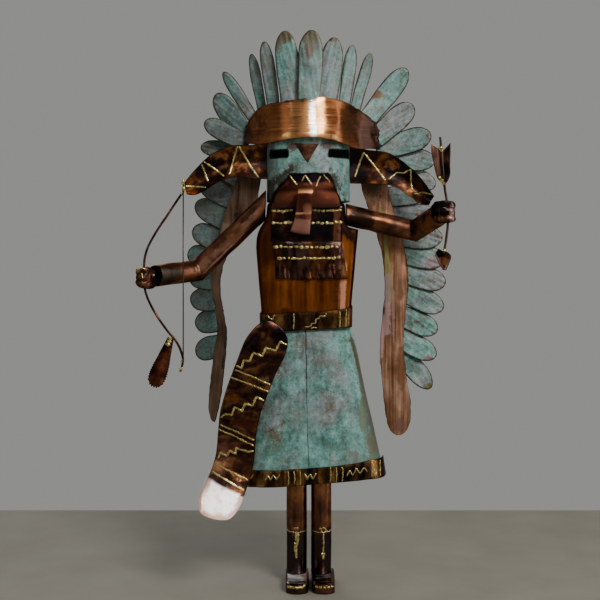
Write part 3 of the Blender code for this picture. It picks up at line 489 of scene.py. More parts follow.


# A shape's numbers, percent, and red, green and blue in thousandths. Most rows are stains, tints and patina;
# the rows named below are painted shade and painted highlights.
# Arrow arm: the dark root (72 506) is painted shade.
# Arrow-side boot: the pale line across the top (10 15) is a painted highlight.
# Bow arm: the pale line along the lower edge (-64 510) is a painted highlight.
# Headband: the warm glow (0 612 -3 672) and the near-white stripe (6 612 2 674) are a painted highlight.
# Mask: the dark spot at the right edge (58 575) is painted shade.
# Tongue: the bright lines at the top bend (-16 544) and at the kink (-19 514) are painted highlights.
# Torso: the dark shoulder corners (46 512, -56 512, 64 494), the dark upper left (-66 492, -52 470, -52 500)
# and the dark side strips (-62 380, 58 372) are painted shade; the pale pink stripe at x 45 is a painted
# highlight.
MARKS = groups("""
skirt
80 215 92 190 6 8 45 150 115 35
86 190 9 14 60 170 80 30
58 345 98 195 3 9 62 100 75 30
72 238 8 34 40 200 260 110
-46 215 26 24 55 140 95 50
-40 300 14 40 50 120 85 45
30 255 22 40 42 150 120 80
98 200 12 30 60 80 58 36
56 350 96 195 1.5 5 66 60 50 30
-4 356 0 172 0.8 3 62 30 90 75
-62 182 92 180 9 20 55 90 290 200
88 262 30 90 62 85 110 85
0 240 24 60 42 200 360 310
-20 340 40 14 45 150 100 50
mask
-56 512 -54 548 5 12 55 22 17 10
-52 549 -26 573 5 12 60 22 17 10
-24 573 27 573 1.5 9 40 60 36 20
29 572 50 528 4.5 12 50 22 17 10
-36 560 18 16 46 26 20 12
37 556 12 16 44 26 20 12
-22 603 18 13 60 75 40 20
24 604 18 12 60 70 40 22
-56 545 12 34 48 22 18 12
58 575 8 30 45 50 60 45
-20 580 14 7 45 90 35 16
headband
-80 634 40 44 60 120 42 18
-88 622 12 22 90 30 18 12
-34 616 34 615 2.2 4 100 920 560 200
60 634 46 44 60 150 60 30
86 626 27 50 115 48 21 14
0 612 -3 672 20 24 120 840 380 140
64 655 18 8 80 70 30 16
6 612 2 674 3.4 5 120 1000 950 840
-9 663 3 5 90 50 20 12
torso
-62 380 -70 490 6 14 60 100 28 6
46 512 12 28 120 22 9 5
-56 512 12 28 120 22 9 5
64 494 22 26 120 22 9 5
58 372 68 500 5 4 120 45 14 6
-66 492 16 26 100 40 14 6
45 372 47 450 3 6 100 950 420 240
36 372 38 480 3 6 70 120 35 12
-30 380 20 14 70 140 35 8
-52 470 20 40 80 100 28 8
-52 500 16 18 60 115 32 18
breastplate_upper
37 470 37 526 5 4 75 230 75 35
40 468 40 498 1.4 3 65 420 190 140
-10 490 30 18 75 14 8 12
breastplate_fringe
-39 429 -39.5 447 1.2 3 60 400 175 125
-32 429 -32.5 444 1.6 3 60 400 175 125
-26 429 -26.5 440 0.8 3 60 400 175 125
13 429 12.5 452 1.4 3 60 400 175 125
19 429 18.5 444 1.0 3 60 400 175 125
28 429 27.5 450 1.5 3 60 400 175 125
34 429 33.5 470 1.2 3 60 400 175 125
41 429 40.5 476 1.8 3 60 400 175 125
46 429 45.5 472 1.4 3 60 400 175 125
beard
-60 552 60 552 6 80 75 22 12
0 562 40 9 95 14 8 12
-26 538 18 8 60 170 52 22
24 539 14 7 50 140 42 20
-50 527 50 526 5 85 30 12 10
tongue
-16 544 6 545 3.5 3 90 620 270 100
-6 528 12 11 85 100 28 15
-19 514 3 515 1.2 2.5 95 750 420 220
-3 520 7 9 80 500 200 110
-30 508 10 506 6 80 260 115 80
-30 494 10 484 5 85 75 30 18
arm_bow_side
-72 512 -150 440 7 9 55 460 220 140
-64 510 -142 434 1.2 3 85 520 250 190
-68 536 -150 458 2 5 70 20 12 10
-100 486 16 18 70 270 105 40
-66 519 7 8 80 300 120 50
-190 434 26 18 85 70 48 34
-160 428 12 10 60 240 85 34
arm_arrow_side
72 506 26 24 90 50 22 14
104 500 14 12 70 250 85 28
58 498 138 478 1.4 4 60 320 120 40
140 492 10 18 60 40 18 12
158 500 16 16 70 340 120 45
hand_bow_side
-228 440 8 6 80 420 240 60
-214 424 9 6 80 140 40 20
hand_arrow_side
172 518 34 26 130 20 11 13
172 507 12 5 80 380 140 45
187 514 5 16 75 620 360 310
leg_bow_side
-40 74 10 74 10 75 42 26 28
-19 81 10 7 130 500 220 150
-12 44 6 14 80 30 24 45
-30 27 0 27 4 4 70 115 32 18
leg_arrow_side
0 74 40 74 10 70 50 24 22
26 50 5 20 80 26 22 40
10 110 5 40 70 180 55 22
4 27 34 27 4 4 70 115 32 18
boot_arrow_side
10 15 30 15 0.9 2.4 90 200 130 100
trailer_bow_side
-96 560 -120 300 3 6 60 60 40 28
-112 440 8 60 50 300 180 100
trailer_arrow_side
88 560 22 60 60 170 110 60
118 520 128 400 4 8 70 460 230 135
102 520 113 395 2.6 6 95 400 360 120
107 425 109 350 3.5 10 100 840 560 540
103 368 100 318 3 9 110 980 520 500
118 410 118 330 2 5 80 800 460 340
124 400 132 250 2 9 60 520 240 130
132 500 146 290 2 5 80 190 60 18
128 300 14 40 60 340 160 75
127 220 14 14 70 420 220 170
sash
-36 350 22 20 90 14 8 12
-102 267 16 8 75 420 130 30
-84 234 20 9 75 200 45 22
-64 292 16 8 60 220 120 60
-70 350 -116 300 3 6 70 55 35 45
-112 200 16 16 50 130 40 20
horn_bow_side
-164 556 12 14 80 340 115 30
-120 592 26 8 60 360 140 45
horn_arrow_side
112 580 14 12 65 440 180 60
152 552 12 12 70 90 30 15
bow
-190 510 14 16 50 300 120 40
-212 470 8 14 50 300 110 40
-200 380 12 10 90 380 140 50
-168 550 6 12 90 360 260 90
arrow
162 602 168 560 5.5 2 95 420 190 130
176 452 9 8 90 440 150 50
166 461 176 441 1 2 90 620 360 310
187 456 179 441 1 2 90 620 360 310
crown_feather_07
-42 752 22 34 62 90 62 26
-28 754 12 12 60 70 60 20
crown_feather_08
0 727 8 12 60 120 50 26
2 756 28 36 74 88 72 26
crown_feather_09
34 752 18 12 95 110 60 25
crown_feather_12
94 678 14 11 70 190 85 30
crown_feather_01
-140 604 20 12 60 60 50 30
arrow_side_feather_9
170 270 12 10 85 150 115 35
arrow_side_feather_8
168 312 12 8 70 220 120 110
arrow_side_feather_4
172 446 14 9 70 210 130 120
arrow_side_feather_2
160 512 14 8 70 160 110 80
""")
# Painted highlights: a shape's numbers and percent
PAINTED_HIGHLIGHTS = groups("""
torso
45 373 46 410 1.2 4 36
47 425 45 475 2 6 30
sash
-130 158 -86 138 8 100
boot_bow_side
-29 15 -4 15 0.9 2.4 110
boot_arrow_side
10 15 30 15 0.9 2.4 62
hand_bow_side
-206 433 2 2 90
arm_bow_side
-84 492 -136 441 0.4 2 60
""")


def mark(piece, node):
    """Write a piece's marks, painted shade and highlights among them, and its painted highlights onto its
    points.
    """
    marks, painted_highlights = ([read_mark(row, tail) for row in table.get(node, ())]
                     for table, tail in ((MARKS, 4), (PAINTED_HIGHLIGHTS, 1)))
    if not marks and not painted_highlights:
        return
    colours, amounts, bright = [], [], []
    for vertex in piece.data.vertices:
        p = local(vertex.co)
        colour = Vector((0, 0, 0))
        amount = 0.0
        front = 1.0 if node != "mask" or p.y < MASK_MARKS_END else 0.0
        for shape, strength, tint in marks:
            share = shape(p) * strength * front
            if share > 0:
                whole = share + amount * (1 - share)
                colour = colour.lerp(tint, share / whole)
                amount = whole
        colours += [*colour, 1.0]
        amounts.append(amount)
        # how strong the painted highlight is at this point
        bright.append(max([shape(p) * strength for shape, strength, _ in painted_highlights], default=0.0))
    note(piece.data, "mark_colour", colours, "FLOAT_COLOR")
    note(piece.data, "mark_amount", amounts)
    note(piece.data, "gleam", bright)


# --- Modelling helpers
IN_FRONT = -240
FAR_FROM_RIM = 50.0
RIM_SPACING = 0.0006


def note(mesh, name, values, kind="FLOAT"):
    """Write a value for each point of a mesh, for its material to read."""
    field = {"FLOAT": "value", "FLOAT_COLOR": "color", "FLOAT_VECTOR": "vector"}[kind]
    mesh.attributes.new(name, kind, "POINT").data.foreach_set(field, values)


def hash_of(name):
    return sum((k + 1) * ord(letter) for k, letter in enumerate(name)) % 997


def settle(piece):
    """Apply a piece's modifiers."""
    view = bpy.context.evaluated_depsgraph_get()
    mesh = bpy.data.meshes.new_from_object(piece.evaluated_get(view))
    piece.modifiers.clear()
    piece.data = mesh
    mesh.name = piece.name


def waves(point):
    """Small unevenness that runs through the whole figure, so that neighbours keep their gaps."""
    ease = clamp((point.z - 0.016) / 0.03)
    return (noise.noise_vector(point * 34) * 0.0007 + noise.noise_vector(point * 90) * 0.00028) * ease


def rim_points(mesh, angle):
    """Points spaced along a mesh's sharp edges."""
    work = bmesh.new()
    work.from_mesh(mesh)
    points = []
    for line in work.edges:
        if len(line.link_faces) == 2 and line.calc_face_angle() > angle:
            a, b = (corner.co for corner in line.verts)
            count = max(1, int((b - a).length / RIM_SPACING))
            points += [a.lerp(b, k / count) for k in range(count + 1)]
    work.free()
    return points


def worked_metal(piece, edge=0.3, form=None, leaf=None, angle=55):
    """Wave the sheet a little, round its edges and note how far each point is from a rim."""
    for vertex in piece.data.vertices:
        move = waves(vertex.co)
        if form is not None:
            move = move + form(local(vertex.co)) * MM
        vertex.co = vertex.co + move
    rims = rim_points(piece.data, radians(angle))
    if edge:
        bevel = piece.modifiers.new("edge", "BEVEL")
        bevel.width = edge * MM
        bevel.segments = 2
        bevel.limit_method = "ANGLE"
        bevel.angle_limit = radians(angle)
        settle(piece)
    mesh = piece.data
    nearest = KDTree(len(rims))
    for k, point in enumerate(rims):
        nearest.insert(point, k)
    nearest.balance()
    note(mesh, "rim", [nearest.find(v.co)[2] / MM if rims else FAR_FROM_RIM for v in mesh.vertices])
    mesh.shade_smooth()
    if leaf is not None:
        own_place = chance(len(piece.name) + hash_of(piece.name)) * 400
        coordinates, stains = [], []
        for vertex in mesh.vertices:
            across, along, stain = leaf(vertex.co)
            coordinates += [across, along, own_place]
            stains.append(stain)
        note(mesh, "leaf", coordinates, "FLOAT_VECTOR")
        note(mesh, "stain", stains)


def dress(piece, node, material=None, replaces=True):
    """Put a finished piece on the figure, in place of a CAD node or beside it."""
    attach(piece, "root")
    if replaces:
        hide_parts(node)
    piece.data.materials.clear()
    piece.data.materials.append(MATERIALS[material or SLOT_OF[node]])
    mark(piece, node)


def refine(node, levels=2, crease=65, edge=0.3, form=None, leaf=None, material=None):
    """A smooth, worked version of a CAD node's sheet metal."""
    work = bmesh.new()
    work.from_mesh(NODES[node].data)
    bmesh.ops.remove_doubles(work, verts=work.verts, dist=0.000002)
    bmesh.ops.join_triangles(work, faces=work.faces, angle_face_threshold=radians(32),
                             angle_shape_threshold=radians(150))
    sharp = work.edges.layers.float.new("crease_edge")
    for line in work.edges:
        if len(line.link_faces) == 2 and line.calc_face_angle() > radians(crease):
            line[sharp] = 1.0
    piece = add_work(node + "_metal", work)
    smooth = piece.modifiers.new("smooth", "SUBSURF")
    smooth.levels = smooth.render_levels = levels
    settle(piece)
    worked_metal(piece, edge, form, leaf)
    dress(piece, node, material)


def sheet(name, rows, thickness, offset=0.0, closed=False, missing=None):
    """Sheet metal through rows of points; missing(r, c) leaves a face out."""
    width = len(rows[0])
    faces = []
    for r in range(len(rows) - 1):
        for c in range(width if closed else width - 1):
            if missing is None or not missing(r, c):
                d = (c + 1) % width
                faces.append((r * width + c, r * width + d, (r + 1) * width + d, (r + 1) * width + c))
    piece = add_faces(name, [at(*point) for row in rows for point in row], faces)
    solid = piece.modifiers.new("thickness", "SOLIDIFY")
    solid.thickness = thickness * MM
    solid.offset = offset
    solid.use_even_offset = True
    settle(piece)
    return piece


def front_of(*nodes):
    """A search tree over the metal of one or more nodes."""
    corners, faces = [], []
    for node in nodes:
        mesh = bpy.data.objects[node + "_metal"].data
        start = len(corners)
        corners += [vertex.co.copy() for vertex in mesh.vertices]
        faces += [[start + k for k in polygon.vertices] for polygon in mesh.polygons]
    return BVHTree.FromPolygons(corners, faces)


def drop(tree, x, z):
    """Where a line from in front of the figure first meets the surface at x, z, and its normal there."""
    hit, normal, _, _ = tree.ray_cast(at(x, IN_FRONT, z), -TOWARD_VIEWER)
    if hit is None:
        return None
    return hit, -normal if normal.y > 0 else normal


def pairs(numbers):
    return list(zip(numbers[::2], numbers[1::2]))


def walk(path, step):
    """Evenly spaced places along a path of (x, z) points."""
    places = []
    for (x0, z0), (x1, z1) in zip(path, path[1:]):
        count = max(1, round(hypot(x1 - x0, z1 - z0) / step))
        places += [(x0 + (x1 - x0) * k / count, z0 + (z1 - z0) * k / count) for k in range(count)]
    return places + [path[-1]]


BEAD = 2.15
BEAD_STEP = 6.4
ROPE_SIDES = 8


class Braze:
    """Melted lines and drops laid on the front of some nodes, as one piece that belongs to the first."""

    def __init__(self, name, *nodes):
        self.name = name
        self.node = nodes[0]
        self.tree = front_of(*nodes)
        self.work = bmesh.new()
        self.seed = hash_of(name)

    def rope(self, points, normals, radius, flat):
        """A rough tube along points."""
        rings = []
        last = len(points) - 1
        for k, (point, normal) in enumerate(zip(points, normals)):
            along = points[min(k + 1, last)] - points[max(k - 1, 0)]
            if along.length < 1e-9:
                continue
            along.normalize()
            side = along.cross(normal).normalized()
            up = side.cross(along)
            swell = 1 + 0.42 * noise.noise(point * 260 + Vector((self.seed, 0, 0)))
            size = radius * MM * swell * (0.55 if k in (0, last) else 1.0)
            ring = []
            for j in range(ROPE_SIDES):
                angle = 2 * pi * j / ROPE_SIDES
                place = point + side * (cos(angle) * size) + up * (sin(angle) * size * flat)
                ring.append(self.work.verts.new(place))
            rings.append(ring)
        for a, b in zip(rings, rings[1:]):
            for j in range(ROPE_SIDES):
                i = (j + 1) % ROPE_SIDES
                self.work.faces.new((a[j], a[i], b[i], b[j]))
        if len(rings) > 1:
            self.work.faces.new(tuple(reversed(rings[0])))
            self.work.faces.new(tuple(rings[-1]))

    def line(self, radius, *path, step=1.3, sunk=0.25, flat=0.75):
        """A bead of brass run over the surface along x, z, x, z, ..."""
        points, normals = [], []
        for x, z in walk(pairs(path), step):
            found = drop(self.tree, x + 0.35 * chance(x + z), z + 0.35 * chance(x * 3 - z))
            if found:
                points.append(found[0] - found[1] * radius * MM * sunk)
                normals.append(found[1])
        if len(points) > 2:
            self.rope(points, normals, radius, flat)

    def blob(self, x, z, size, ripples=0.22, sunk=0.0):
        """A lump of brass of the given width, depth and height on the surface at x, z."""
        found = drop(self.tree, x, z)
        if not found:
            return
        place, normal = found
        place = place - normal * sunk * MM
        made = bmesh.ops.create_icosphere(self.work, subdivisions=3, radius=1.0)
        size = Vector(size) * MM
        side = normal.cross(Vector((0, 0, 1)))
        side = side.normalized() if side.length > 1e-6 else Vector((1, 0, 0))
        up = side.cross(normal)
        for vertex in made["verts"]:
            p = vertex.co
            rough = 1 + ripples * noise.noise(p * 1.6 + Vector((self.seed, place.x * 900, place.z * 700)))
            off = side * (p.x * size.x) + up * (p.z * size.z) + normal * (p.y * size.y * 0.7)
            vertex.co = place + off * rough

    def beads(self, *path):
        """A row of separate, uneven drops."""
        for k, (x, z) in enumerate(walk(pairs(path), BEAD_STEP)):
            lift = chance(self.seed + k * 1.7 + z)
            wide = BEAD * (1.4 + 0.5 * chance(k * 5.3 + z))
            tall = BEAD * (0.85 + 0.22 * lift)
            self.blob(x + 0.5 * lift, z + 0.7 * chance(k * 2.9 + x), (wide, BEAD * 0.8, tall), 0.5, 0.2)

    def finish(self, material="brazing_brass"):
        bmesh.ops.recalc_face_normals(self.work, faces=self.work.faces)
        piece = add_work(self.name, self.work)
        piece.data.shade_smooth()
        note(piece.data, "rim", [FAR_FROM_RIM] * len(piece.data.vertices))
        dress(piece, self.node, material, replaces=False)


def lay_lines(name, node, lines=(), material="brazing_brass", **form):
    """Lines of (radius, x, z, x, z, ...) on one node, from LINES unless they are given."""
    trim = Braze(name, node)
    for line in lines or LINES[node]:
        trim.line(*map(float, line), **form)
    trim.finish(material)


# Brazed lines: radius, then x and z of each point
LINES = groups("""
hem_band
0.9 -28 153 -27.4 162 -28.4 171
0.9 -20 153 -19.4 162 -20.4 171
0.9 -12 153 -11.4 162 -12.4 171
0.9 28 156 28.7 166 28.2 176
0.9 36 156 36.7 166 36.2 176
0.9 44 156 44.7 166 44.2 176
0.9 84 161 84.4 172 84 182
0.9 90 161 90.4 172 90 182
0.9 96 161 96.4 172 96 182
0.9 -59 158 -56 165 -52 159 -48 166 -44 160 -39 167
0.9 50 164 54 172 58 165 63 174 68 167 73 175 78 169
1.1 -6 168 -3 160 1 167 5 160 9 168
0.8 -90 158 -84 164 -80 158 -75 165
belt
0.9 -58 380 -54 374 -49 372 -47 379
1 -21 359 -20.6 370 -21 382
1.1 -6 362 2 363.5 3 367 8 367 9 373 13 374 14 377 22 377 23 381
1.2 2 360 6 362 10 361
1 41 361 41.5 373 41 384
1 49 362 49.5 374 50 386
sash
1.6 -98 311 -91 307 -88 318 -80 317 -75 328 -63 324 -58 335 -45 331 -39 343 -30 339
1.6 -119 241 -112 246 -104 245 -100 255 -90 251 -86 261 -76 258 -71 270 -60 265
1.6 -123 186 -119 194 -110 191 -106 198 -98 194 -98 202 -82 198 -74 199
1.3 -100 305 -76 296.5 -52 286
1.3 -106 295 -80.5 287 -55 277
1.3 -120 231 -96.5 223 -73 213
1.3 -122 225 -98 216.5 -74 206
1.3 -126 179 -104 171 -82 161
1.3 -130 169 -108 159 -86 147
beard
0.9 -26 565 -21 558 -16 552
0.9 -10 557 -7 563 -5 565 -2 560 3 553
0.9 9 550 12 558 15 564
0.9 19 566 24 561 28 555
horn_bow_side
1.4 -95 605 -80 579 -68 563
1.4 -97 605 -103 586 -108 567
1.4 -142 584 -128 575 -115 565
1.4 -145 580 -141 569 -137 558
1.4 -167 551 -153 551 -139 550
horn_arrow_side
1.4 62 564 68 582 74 597
1.4 74 597 90 577 104 559
1.4 108 561 119 570 128 569 137 574
1.4 137 573 138 558 140 545
1.4 142 541 154 543 165 540
hand_bow_side
1.3 -227 439 -222 443 -216 441
1 -221 436 -219 429
""")


# --- Body
LEGS = {
    # side: (middle, lines of (flatness, radius, x, z, ...), drops of (x, z, width), knob's size,
    #        flatness and step of the toe lines, toe lines)
    "bow": (-17, ((0.35, 3.2, -17, 75, -16.5, 66, -17, 57), (0.5, 1.7, -17, 60, -17.8, 48, -17.2, 38),
                  (0.75, 1.1, -14.4, 72, -15.4, 62, -16.6, 55), (0.75, 1.1, -19.6, 60, -19.8, 50, -18, 40)),
            (), (4.6, 2.0, 2.6), 0.6, 1.3, ((1.9, -30, 9.2, -24, 9.6, -16, 9.2, -9, 9.4, -5.5, 12.5),)),
    "arrow": (17, ((0.75, 1.1, 20, 73, 20.3, 58, 19.8, 46),
                   (0.75, 0.9, 17, 79, 20, 81, 23.4, 79, 24, 76, 20.5, 73.4, 17, 75.4, 17, 79)),
              ((18.6, 43.5, 1.6), (21.0, 42.6, 1.7), (19.8, 38.6, 1.5)), (2.2, 1.2, 1.4), 0.75, 0.7,
              [(1.5, x, 9.4, x + 1.6, 9.9, x + 4.4, 9.3) for x in (8, 13, 18.5, 24, 29.5)]),
}
LEGGING_TOP = 76
KNOB_HEIGHT = 79.5


def make_legs():
    for side, (middle, lines, drops, knob_size, toe_flat, toe_step, toes) in LEGS.items():
        boot, leg = "boot_%s_side" % side, "leg_%s_side" % side
        refine(boot, levels=3, crease=30, edge=0.5)
        refine(leg, levels=3, crease=60)
        trim = Braze("legging_brass_%s_side" % side, leg)
        ring = []
        for k in range(25):
            angle = pi * (1 + k / 24)
            sag = 1.6 * sin(pi * k / 24)
            ring += [middle + 14 * cos(angle), LEGGING_TOP - sag + 0.8 * chance(k + middle)]
        trim.line(0.8, *ring)
        for flat, *line in lines:
            trim.line(*line, flat=flat)
        for x, z, wide in drops:
            trim.blob(x, z, (wide, 1.3, 2.6))
        trim.finish()
        knob = Braze("knee_knob_%s_side" % side, leg)
        knob.blob(middle - 1.5, KNOB_HEIGHT, knob_size, 0.5)
        knob.finish("trailer_copper")
        lay_lines("toe_brass_%s_side" % side, boot, toes, step=toe_step, flat=toe_flat)


def skirt_form(p):
    """Slack in the skirt's faces."""
    return Vector((0, 0.9 * sin(p.x / 26 + 0.7) * sin(p.z / 60), 0))


def make_skirt_and_sash():
    refine("skirt", levels=2, form=skirt_form)
    lay_lines("skirt_seam", "skirt", [(0.75, -4.5, 357, -4, 320, -3, 260, -1.5, 200, 0, 172)], "skirt_seam",
              step=2.5, sunk=0.3)
    refine("hem_band", levels=2, form=skirt_form)
    lay_lines("hem_brass", "hem_band", material="dull_brass")
    refine("belt", levels=2)
    lay_lines("belt_brass", "belt", material="dull_brass")
    refine("sash", levels=3)
    lay_lines("sash_brass", "sash")


FRINGE_STRIPS = 10
STRIP_COLUMNS = (0.012, 0.35, 0.65, 0.988)
FRINGE_LEVELS = (426.5, 429, 432, 435, 438, 441, 445, 452, 460, 468, 476.5)
BEAD_ROWS = ((518.5, -47, -24), (518.5, 7, 41), (502, -48, -27), (502, 5, 41), (470, -45, 37), (455, -40, 39))


def fringe_rows():
    """The bib's lower part as a grid that leaves narrow slits between its strips."""
    columns = [(k + share) / FRINGE_STRIPS for k in range(FRINGE_STRIPS) for share in STRIP_COLUMNS]
    columns = [0.0] + columns[1:-1] + [1.0]
    tree = front_of("torso")
    rows = []
    for z in FRINGE_LEVELS:
        rise = (z - FRINGE_LEVELS[0]) / 50
        left = -44.5 - 3.0 * rise
        right = 51.5 - 8.5 * rise
        loose = max(0.0, (443 - z) / 16) ** 1.4
        row = []
        for c, share in enumerate(columns):
            x = left + (right - left) * share
            place, _ = drop(tree, x, z)
            k = c // 4
            swing = (1.0 + chance(k * 3.3)) * 1.6 * loose
            twist = (share * FRINGE_STRIPS - k - 0.5) * chance(k + 9) * 1.5 * loose
            row.append((x + chance(k * 7.1) * 0.5 * loose, local(place).y - 1.6 - swing - twist, z))
        rows.append(row)
    rows[0] = [(x, y, z + 1.4 * chance((c // 4) * 2.3)) for c, (x, y, z) in enumerate(rows[0])]
    return rows


def make_torso():
    refine("torso", levels=2)
    refine("breastplate_upper", levels=3)
    rows = fringe_rows()

    def missing(r, c):
        return c % 4 == 3 and rows[r + 1][c][2] <= 441 + 3 * chance(c // 4 * 4.1)

    lower = sheet("breastplate_fringe_metal", rows, 1.2, missing=missing)
    worked_metal(lower, 0.25)
    dress(lower, "breastplate_fringe")
    trim = Braze("breastplate_brass", "breastplate_upper", "breastplate_fringe")
    for z, start, end in BEAD_ROWS:
        trim.beads(start, z, (start + end) / 2, z - 0.8, end, z + 0.4)
    trim.finish()


# --- Head
MASK_LOW, MASK_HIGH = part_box("mask")
MASK_MIDDLE = local((MASK_LOW + MASK_HIGH) / 2)
MASK_HALF = (MASK_HIGH - MASK_LOW) / 2 / MM
MASK_TOP = 646
MASK_COLUMNS = 150
MASK_POWER = 2 / 2.3
MASK_CUTS = (  # name, outline, step and depth of the bites along it, how far back the cut goes
    ("eye_cut_bow", (-53.5, 589, -28, 589, -28, 599, -53.5, 599), 4, 0.35, -8),
    ("eye_cut_arrow", (26, 589, 54.5, 589, 54.5, 599, 26, 599), 4, 0.35, -8),
    ("mouth_cut", (-50, 515, -50, 536, -48.5, 540, -40.5, 550, -31.5, 558, -25, 567, 25, 567,
                   30, 562.5, 34, 549.5, 43, 530, 46, 515), 3, 0.8, -12))
CUT_FRONT = -80


def cutter(name, outline, step, depth, back):
    """A prism that cuts an unevenly bitten outline through the mask's front."""
    outline = [(x + depth * chance(x * 1.7 + z), z + depth * chance(z * 2.3 - x))
               for x, z in walk(pairs(outline), step)]
    count = len(outline)
    corners = [at(x, y, z) for y in (CUT_FRONT, back) for x, z in outline]
    faces = [tuple(range(count)), tuple(reversed(range(count, 2 * count)))]
    faces += [(k, k + count, (k + 1) % count + count, (k + 1) % count) for k in range(count)]
    work = bmesh.new()
    corners = [work.verts.new(corner) for corner in corners]
    for face in faces:
        work.faces.new([corners[k] for k in face])
    bmesh.ops.recalc_face_normals(work, faces=work.faces)
    return add_work(name, work)


def make_mask():
    heights = [local(MASK_LOW).z + k * 5.5 for k in range(20)] + [640.8, 644.2, 645.6, 646.0]
    rows = []
    for z in heights:
        shrink = 1.0 - 0.02 * max(0.0, (z - 588) / 53) - (0.0 if z < 641 else ((z - 640.8) / 5.2) ** 2 * 0.1)
        row = []
        for k in range(MASK_COLUMNS):
            angle = -2 * pi * (k + 0.5) / MASK_COLUMNS
            c, s = cos(angle), sin(angle)
            row.append((MASK_MIDDLE.x + MASK_HALF.x * shrink * copysign(abs(c) ** MASK_POWER, c),
                        MASK_MIDDLE.y + MASK_HALF.y * shrink * copysign(abs(s) ** MASK_POWER, s), z))
        rows.append(row[::-1])
    case = sheet("mask_metal", rows, 1.2, -1.0, closed=True)
    cuts = [cutter(*cut) for cut in MASK_CUTS]
    for tool in cuts:
        boolean = case.modifiers.new(tool.name, "BOOLEAN")
        boolean.object = tool
        boolean.operation = "DIFFERENCE"
        boolean.solver = "EXACT"
    settle(case)
    for tool in cuts:
        bpy.data.objects.remove(tool)
    worked_metal(case, 0.3)
    dress(case, "mask")
    middle = Vector((MASK_MIDDLE.x, MASK_MIDDLE.y, MASK_TOP))
    lid = [[tuple(Vector(p).lerp(middle, share)) for p in rows[-1]] for share in (0.0, 0.5, 0.985)]
    top = sheet("mask_lid", lid, 1.2, -1.0, closed=True)
    worked_metal(top, 0.0)
    dress(top, "mask", replaces=False)


def make_face():
    refine("beard", levels=3)
    refine("tongue", levels=3)
    lay_lines("mouth_brass", "beard")
    tree = front_of("mask")
    patch = []
    for t in (0.0, 0.25, 0.5, 0.75, 0.97):
        z = 607 - 26 * t
        left, right = -20 + 18 * t, 13 - 15 * t
        hits = [drop(tree, left + (right - left) * k / 6, z)[0] for k in range(7)]
        patch.append([tuple(local(hit) + TOWARD_VIEWER * 0.35) for hit in hits])
    nose = sheet("nose_patch", patch, 0.8)
    worked_metal(nose, 0.15)
    dress(nose, "mask", "nose_copper", replaces=False)


def headband_form(p):
    """A torn, wavy top edge."""
    top = 666 - 0.0035 * p.x * p.x
    near = max(0.0, 1 - abs(p.z - top) / 14)
    ends = max(0.0, (abs(p.x) - 70) / 20)
    torn = 3.2 * max(0.0, (abs(p.x) - 80) / 14) * noise.noise(Vector((p.z / 5, 0, 8.1)))
    rise = (2.0 + 2.6 * ends) * near * noise.noise(Vector((p.x / 5.5, 0, 3.3)))
    return Vector((torn, 0.4 * noise.noise(p / 16), rise))


def trailer_form(p):
    """Uneven edges and a slow wave down the strip."""
    wave = noise.noise(Vector((p.z / 40, 0, 0)))
    return Vector((noise.noise(Vector((p.z / 7, p.x / 30, 1.5))), 1.6 * wave, 0))


def horn_form(p):
    """Draw the horn's root in to the mask."""
    return Vector((-copysign(3.0 * clamp((66 - abs(p.x)) / 6), p.x), 0, 0))


def make_headdress():
    refine("headband", levels=3, form=headband_form)
    for side in ("bow", "arrow"):
        # The bow-side strip takes the darker copy of its copper, as painted shade.
        material = "trailer_brown" if side == "bow" else None
        refine("trailer_%s_side" % side, levels=3, form=trailer_form, material=material)
        refine("horn_%s_side" % side, levels=3, form=horn_form)
    for side in ("bow", "arrow"):
        lay_lines("horn_brass_%s_side" % side, "horn_%s_side" % side)


# --- Feathers
CROWN_STAINS = (0.2, 0.3, 0.3, 0.4, 0.35, 0.4, 0.3, 0.3, 0.3, 0.25, 0.35, 0.2, 0.2, 0.2, 0.15, 0.1)
# Bow-side crown leaves take the shaded copy of the patina (painted shade), arrow-side ones the pale lit copy
# (painted light).
CROWN_FINISHES = ["feather_shaded"] * 3 + [None] * 8 + ["feather_pale"] * 5
SIDE_STAIN = 0.15


def make_feather(node, inner, tip_stain, material):
    """One leaf; inner is a point on its quill side."""
    corners = [vertex.co for vertex in NODES[node].data.vertices]
    start = min(corners, key=lambda p: (p - inner).length)
    tip = max(corners, key=lambda p: (p - start).length)
    near = sorted(corners, key=lambda p: -(p - tip).length)[:6]
    quill = sum(near, Vector()) / len(near)
    along, length = (tip - quill).normalized(), (tip - quill).length
    across = along.cross(TOWARD_VIEWER).normalized()

    def place_on(point):
        return (point - quill).dot(across) / MM, (point - quill).dot(along)

    def leaf(point):
        side, reach = place_on(point)
        return side, reach / MM, tip_stain * clamp((reach / length - 0.66) / 0.3)

    def form(p):
        side, reach = place_on(at(*p))
        share = reach / length
        wave = 0.5 * sin(share * 9 + side * 0.25) + 0.35 * sin(side * 0.9 + share * 3)
        return Vector((0, wave * 0.6, 0))

    refine(node, levels=3, edge=0.22, form=form, leaf=leaf, material=material)


def make_feathers():
    head = at(0, 0, 600)
    for k, (stain, material) in enumerate(zip(CROWN_STAINS, CROWN_FINISHES)):
        make_feather("crown_feather_%02d" % (k + 1), head, stain, material)
    # Side leaves: the shaded copy (painted shade) on the bow side, the pale lit copy (painted light) on the
    # arrow side.
    for side, count, material in (("bow", 8, "feather_shaded"), ("arrow", 9, "feather_pale")):
        for k in range(count):
            node = "%s_side_feather_%d" % (side, k + 1)
            low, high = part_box(node)
            inner = Vector((low.x if side == "arrow" else high.x, (low.y + high.y) / 2, high.z))
            make_feather(node, inner, SIDE_STAIN, material)


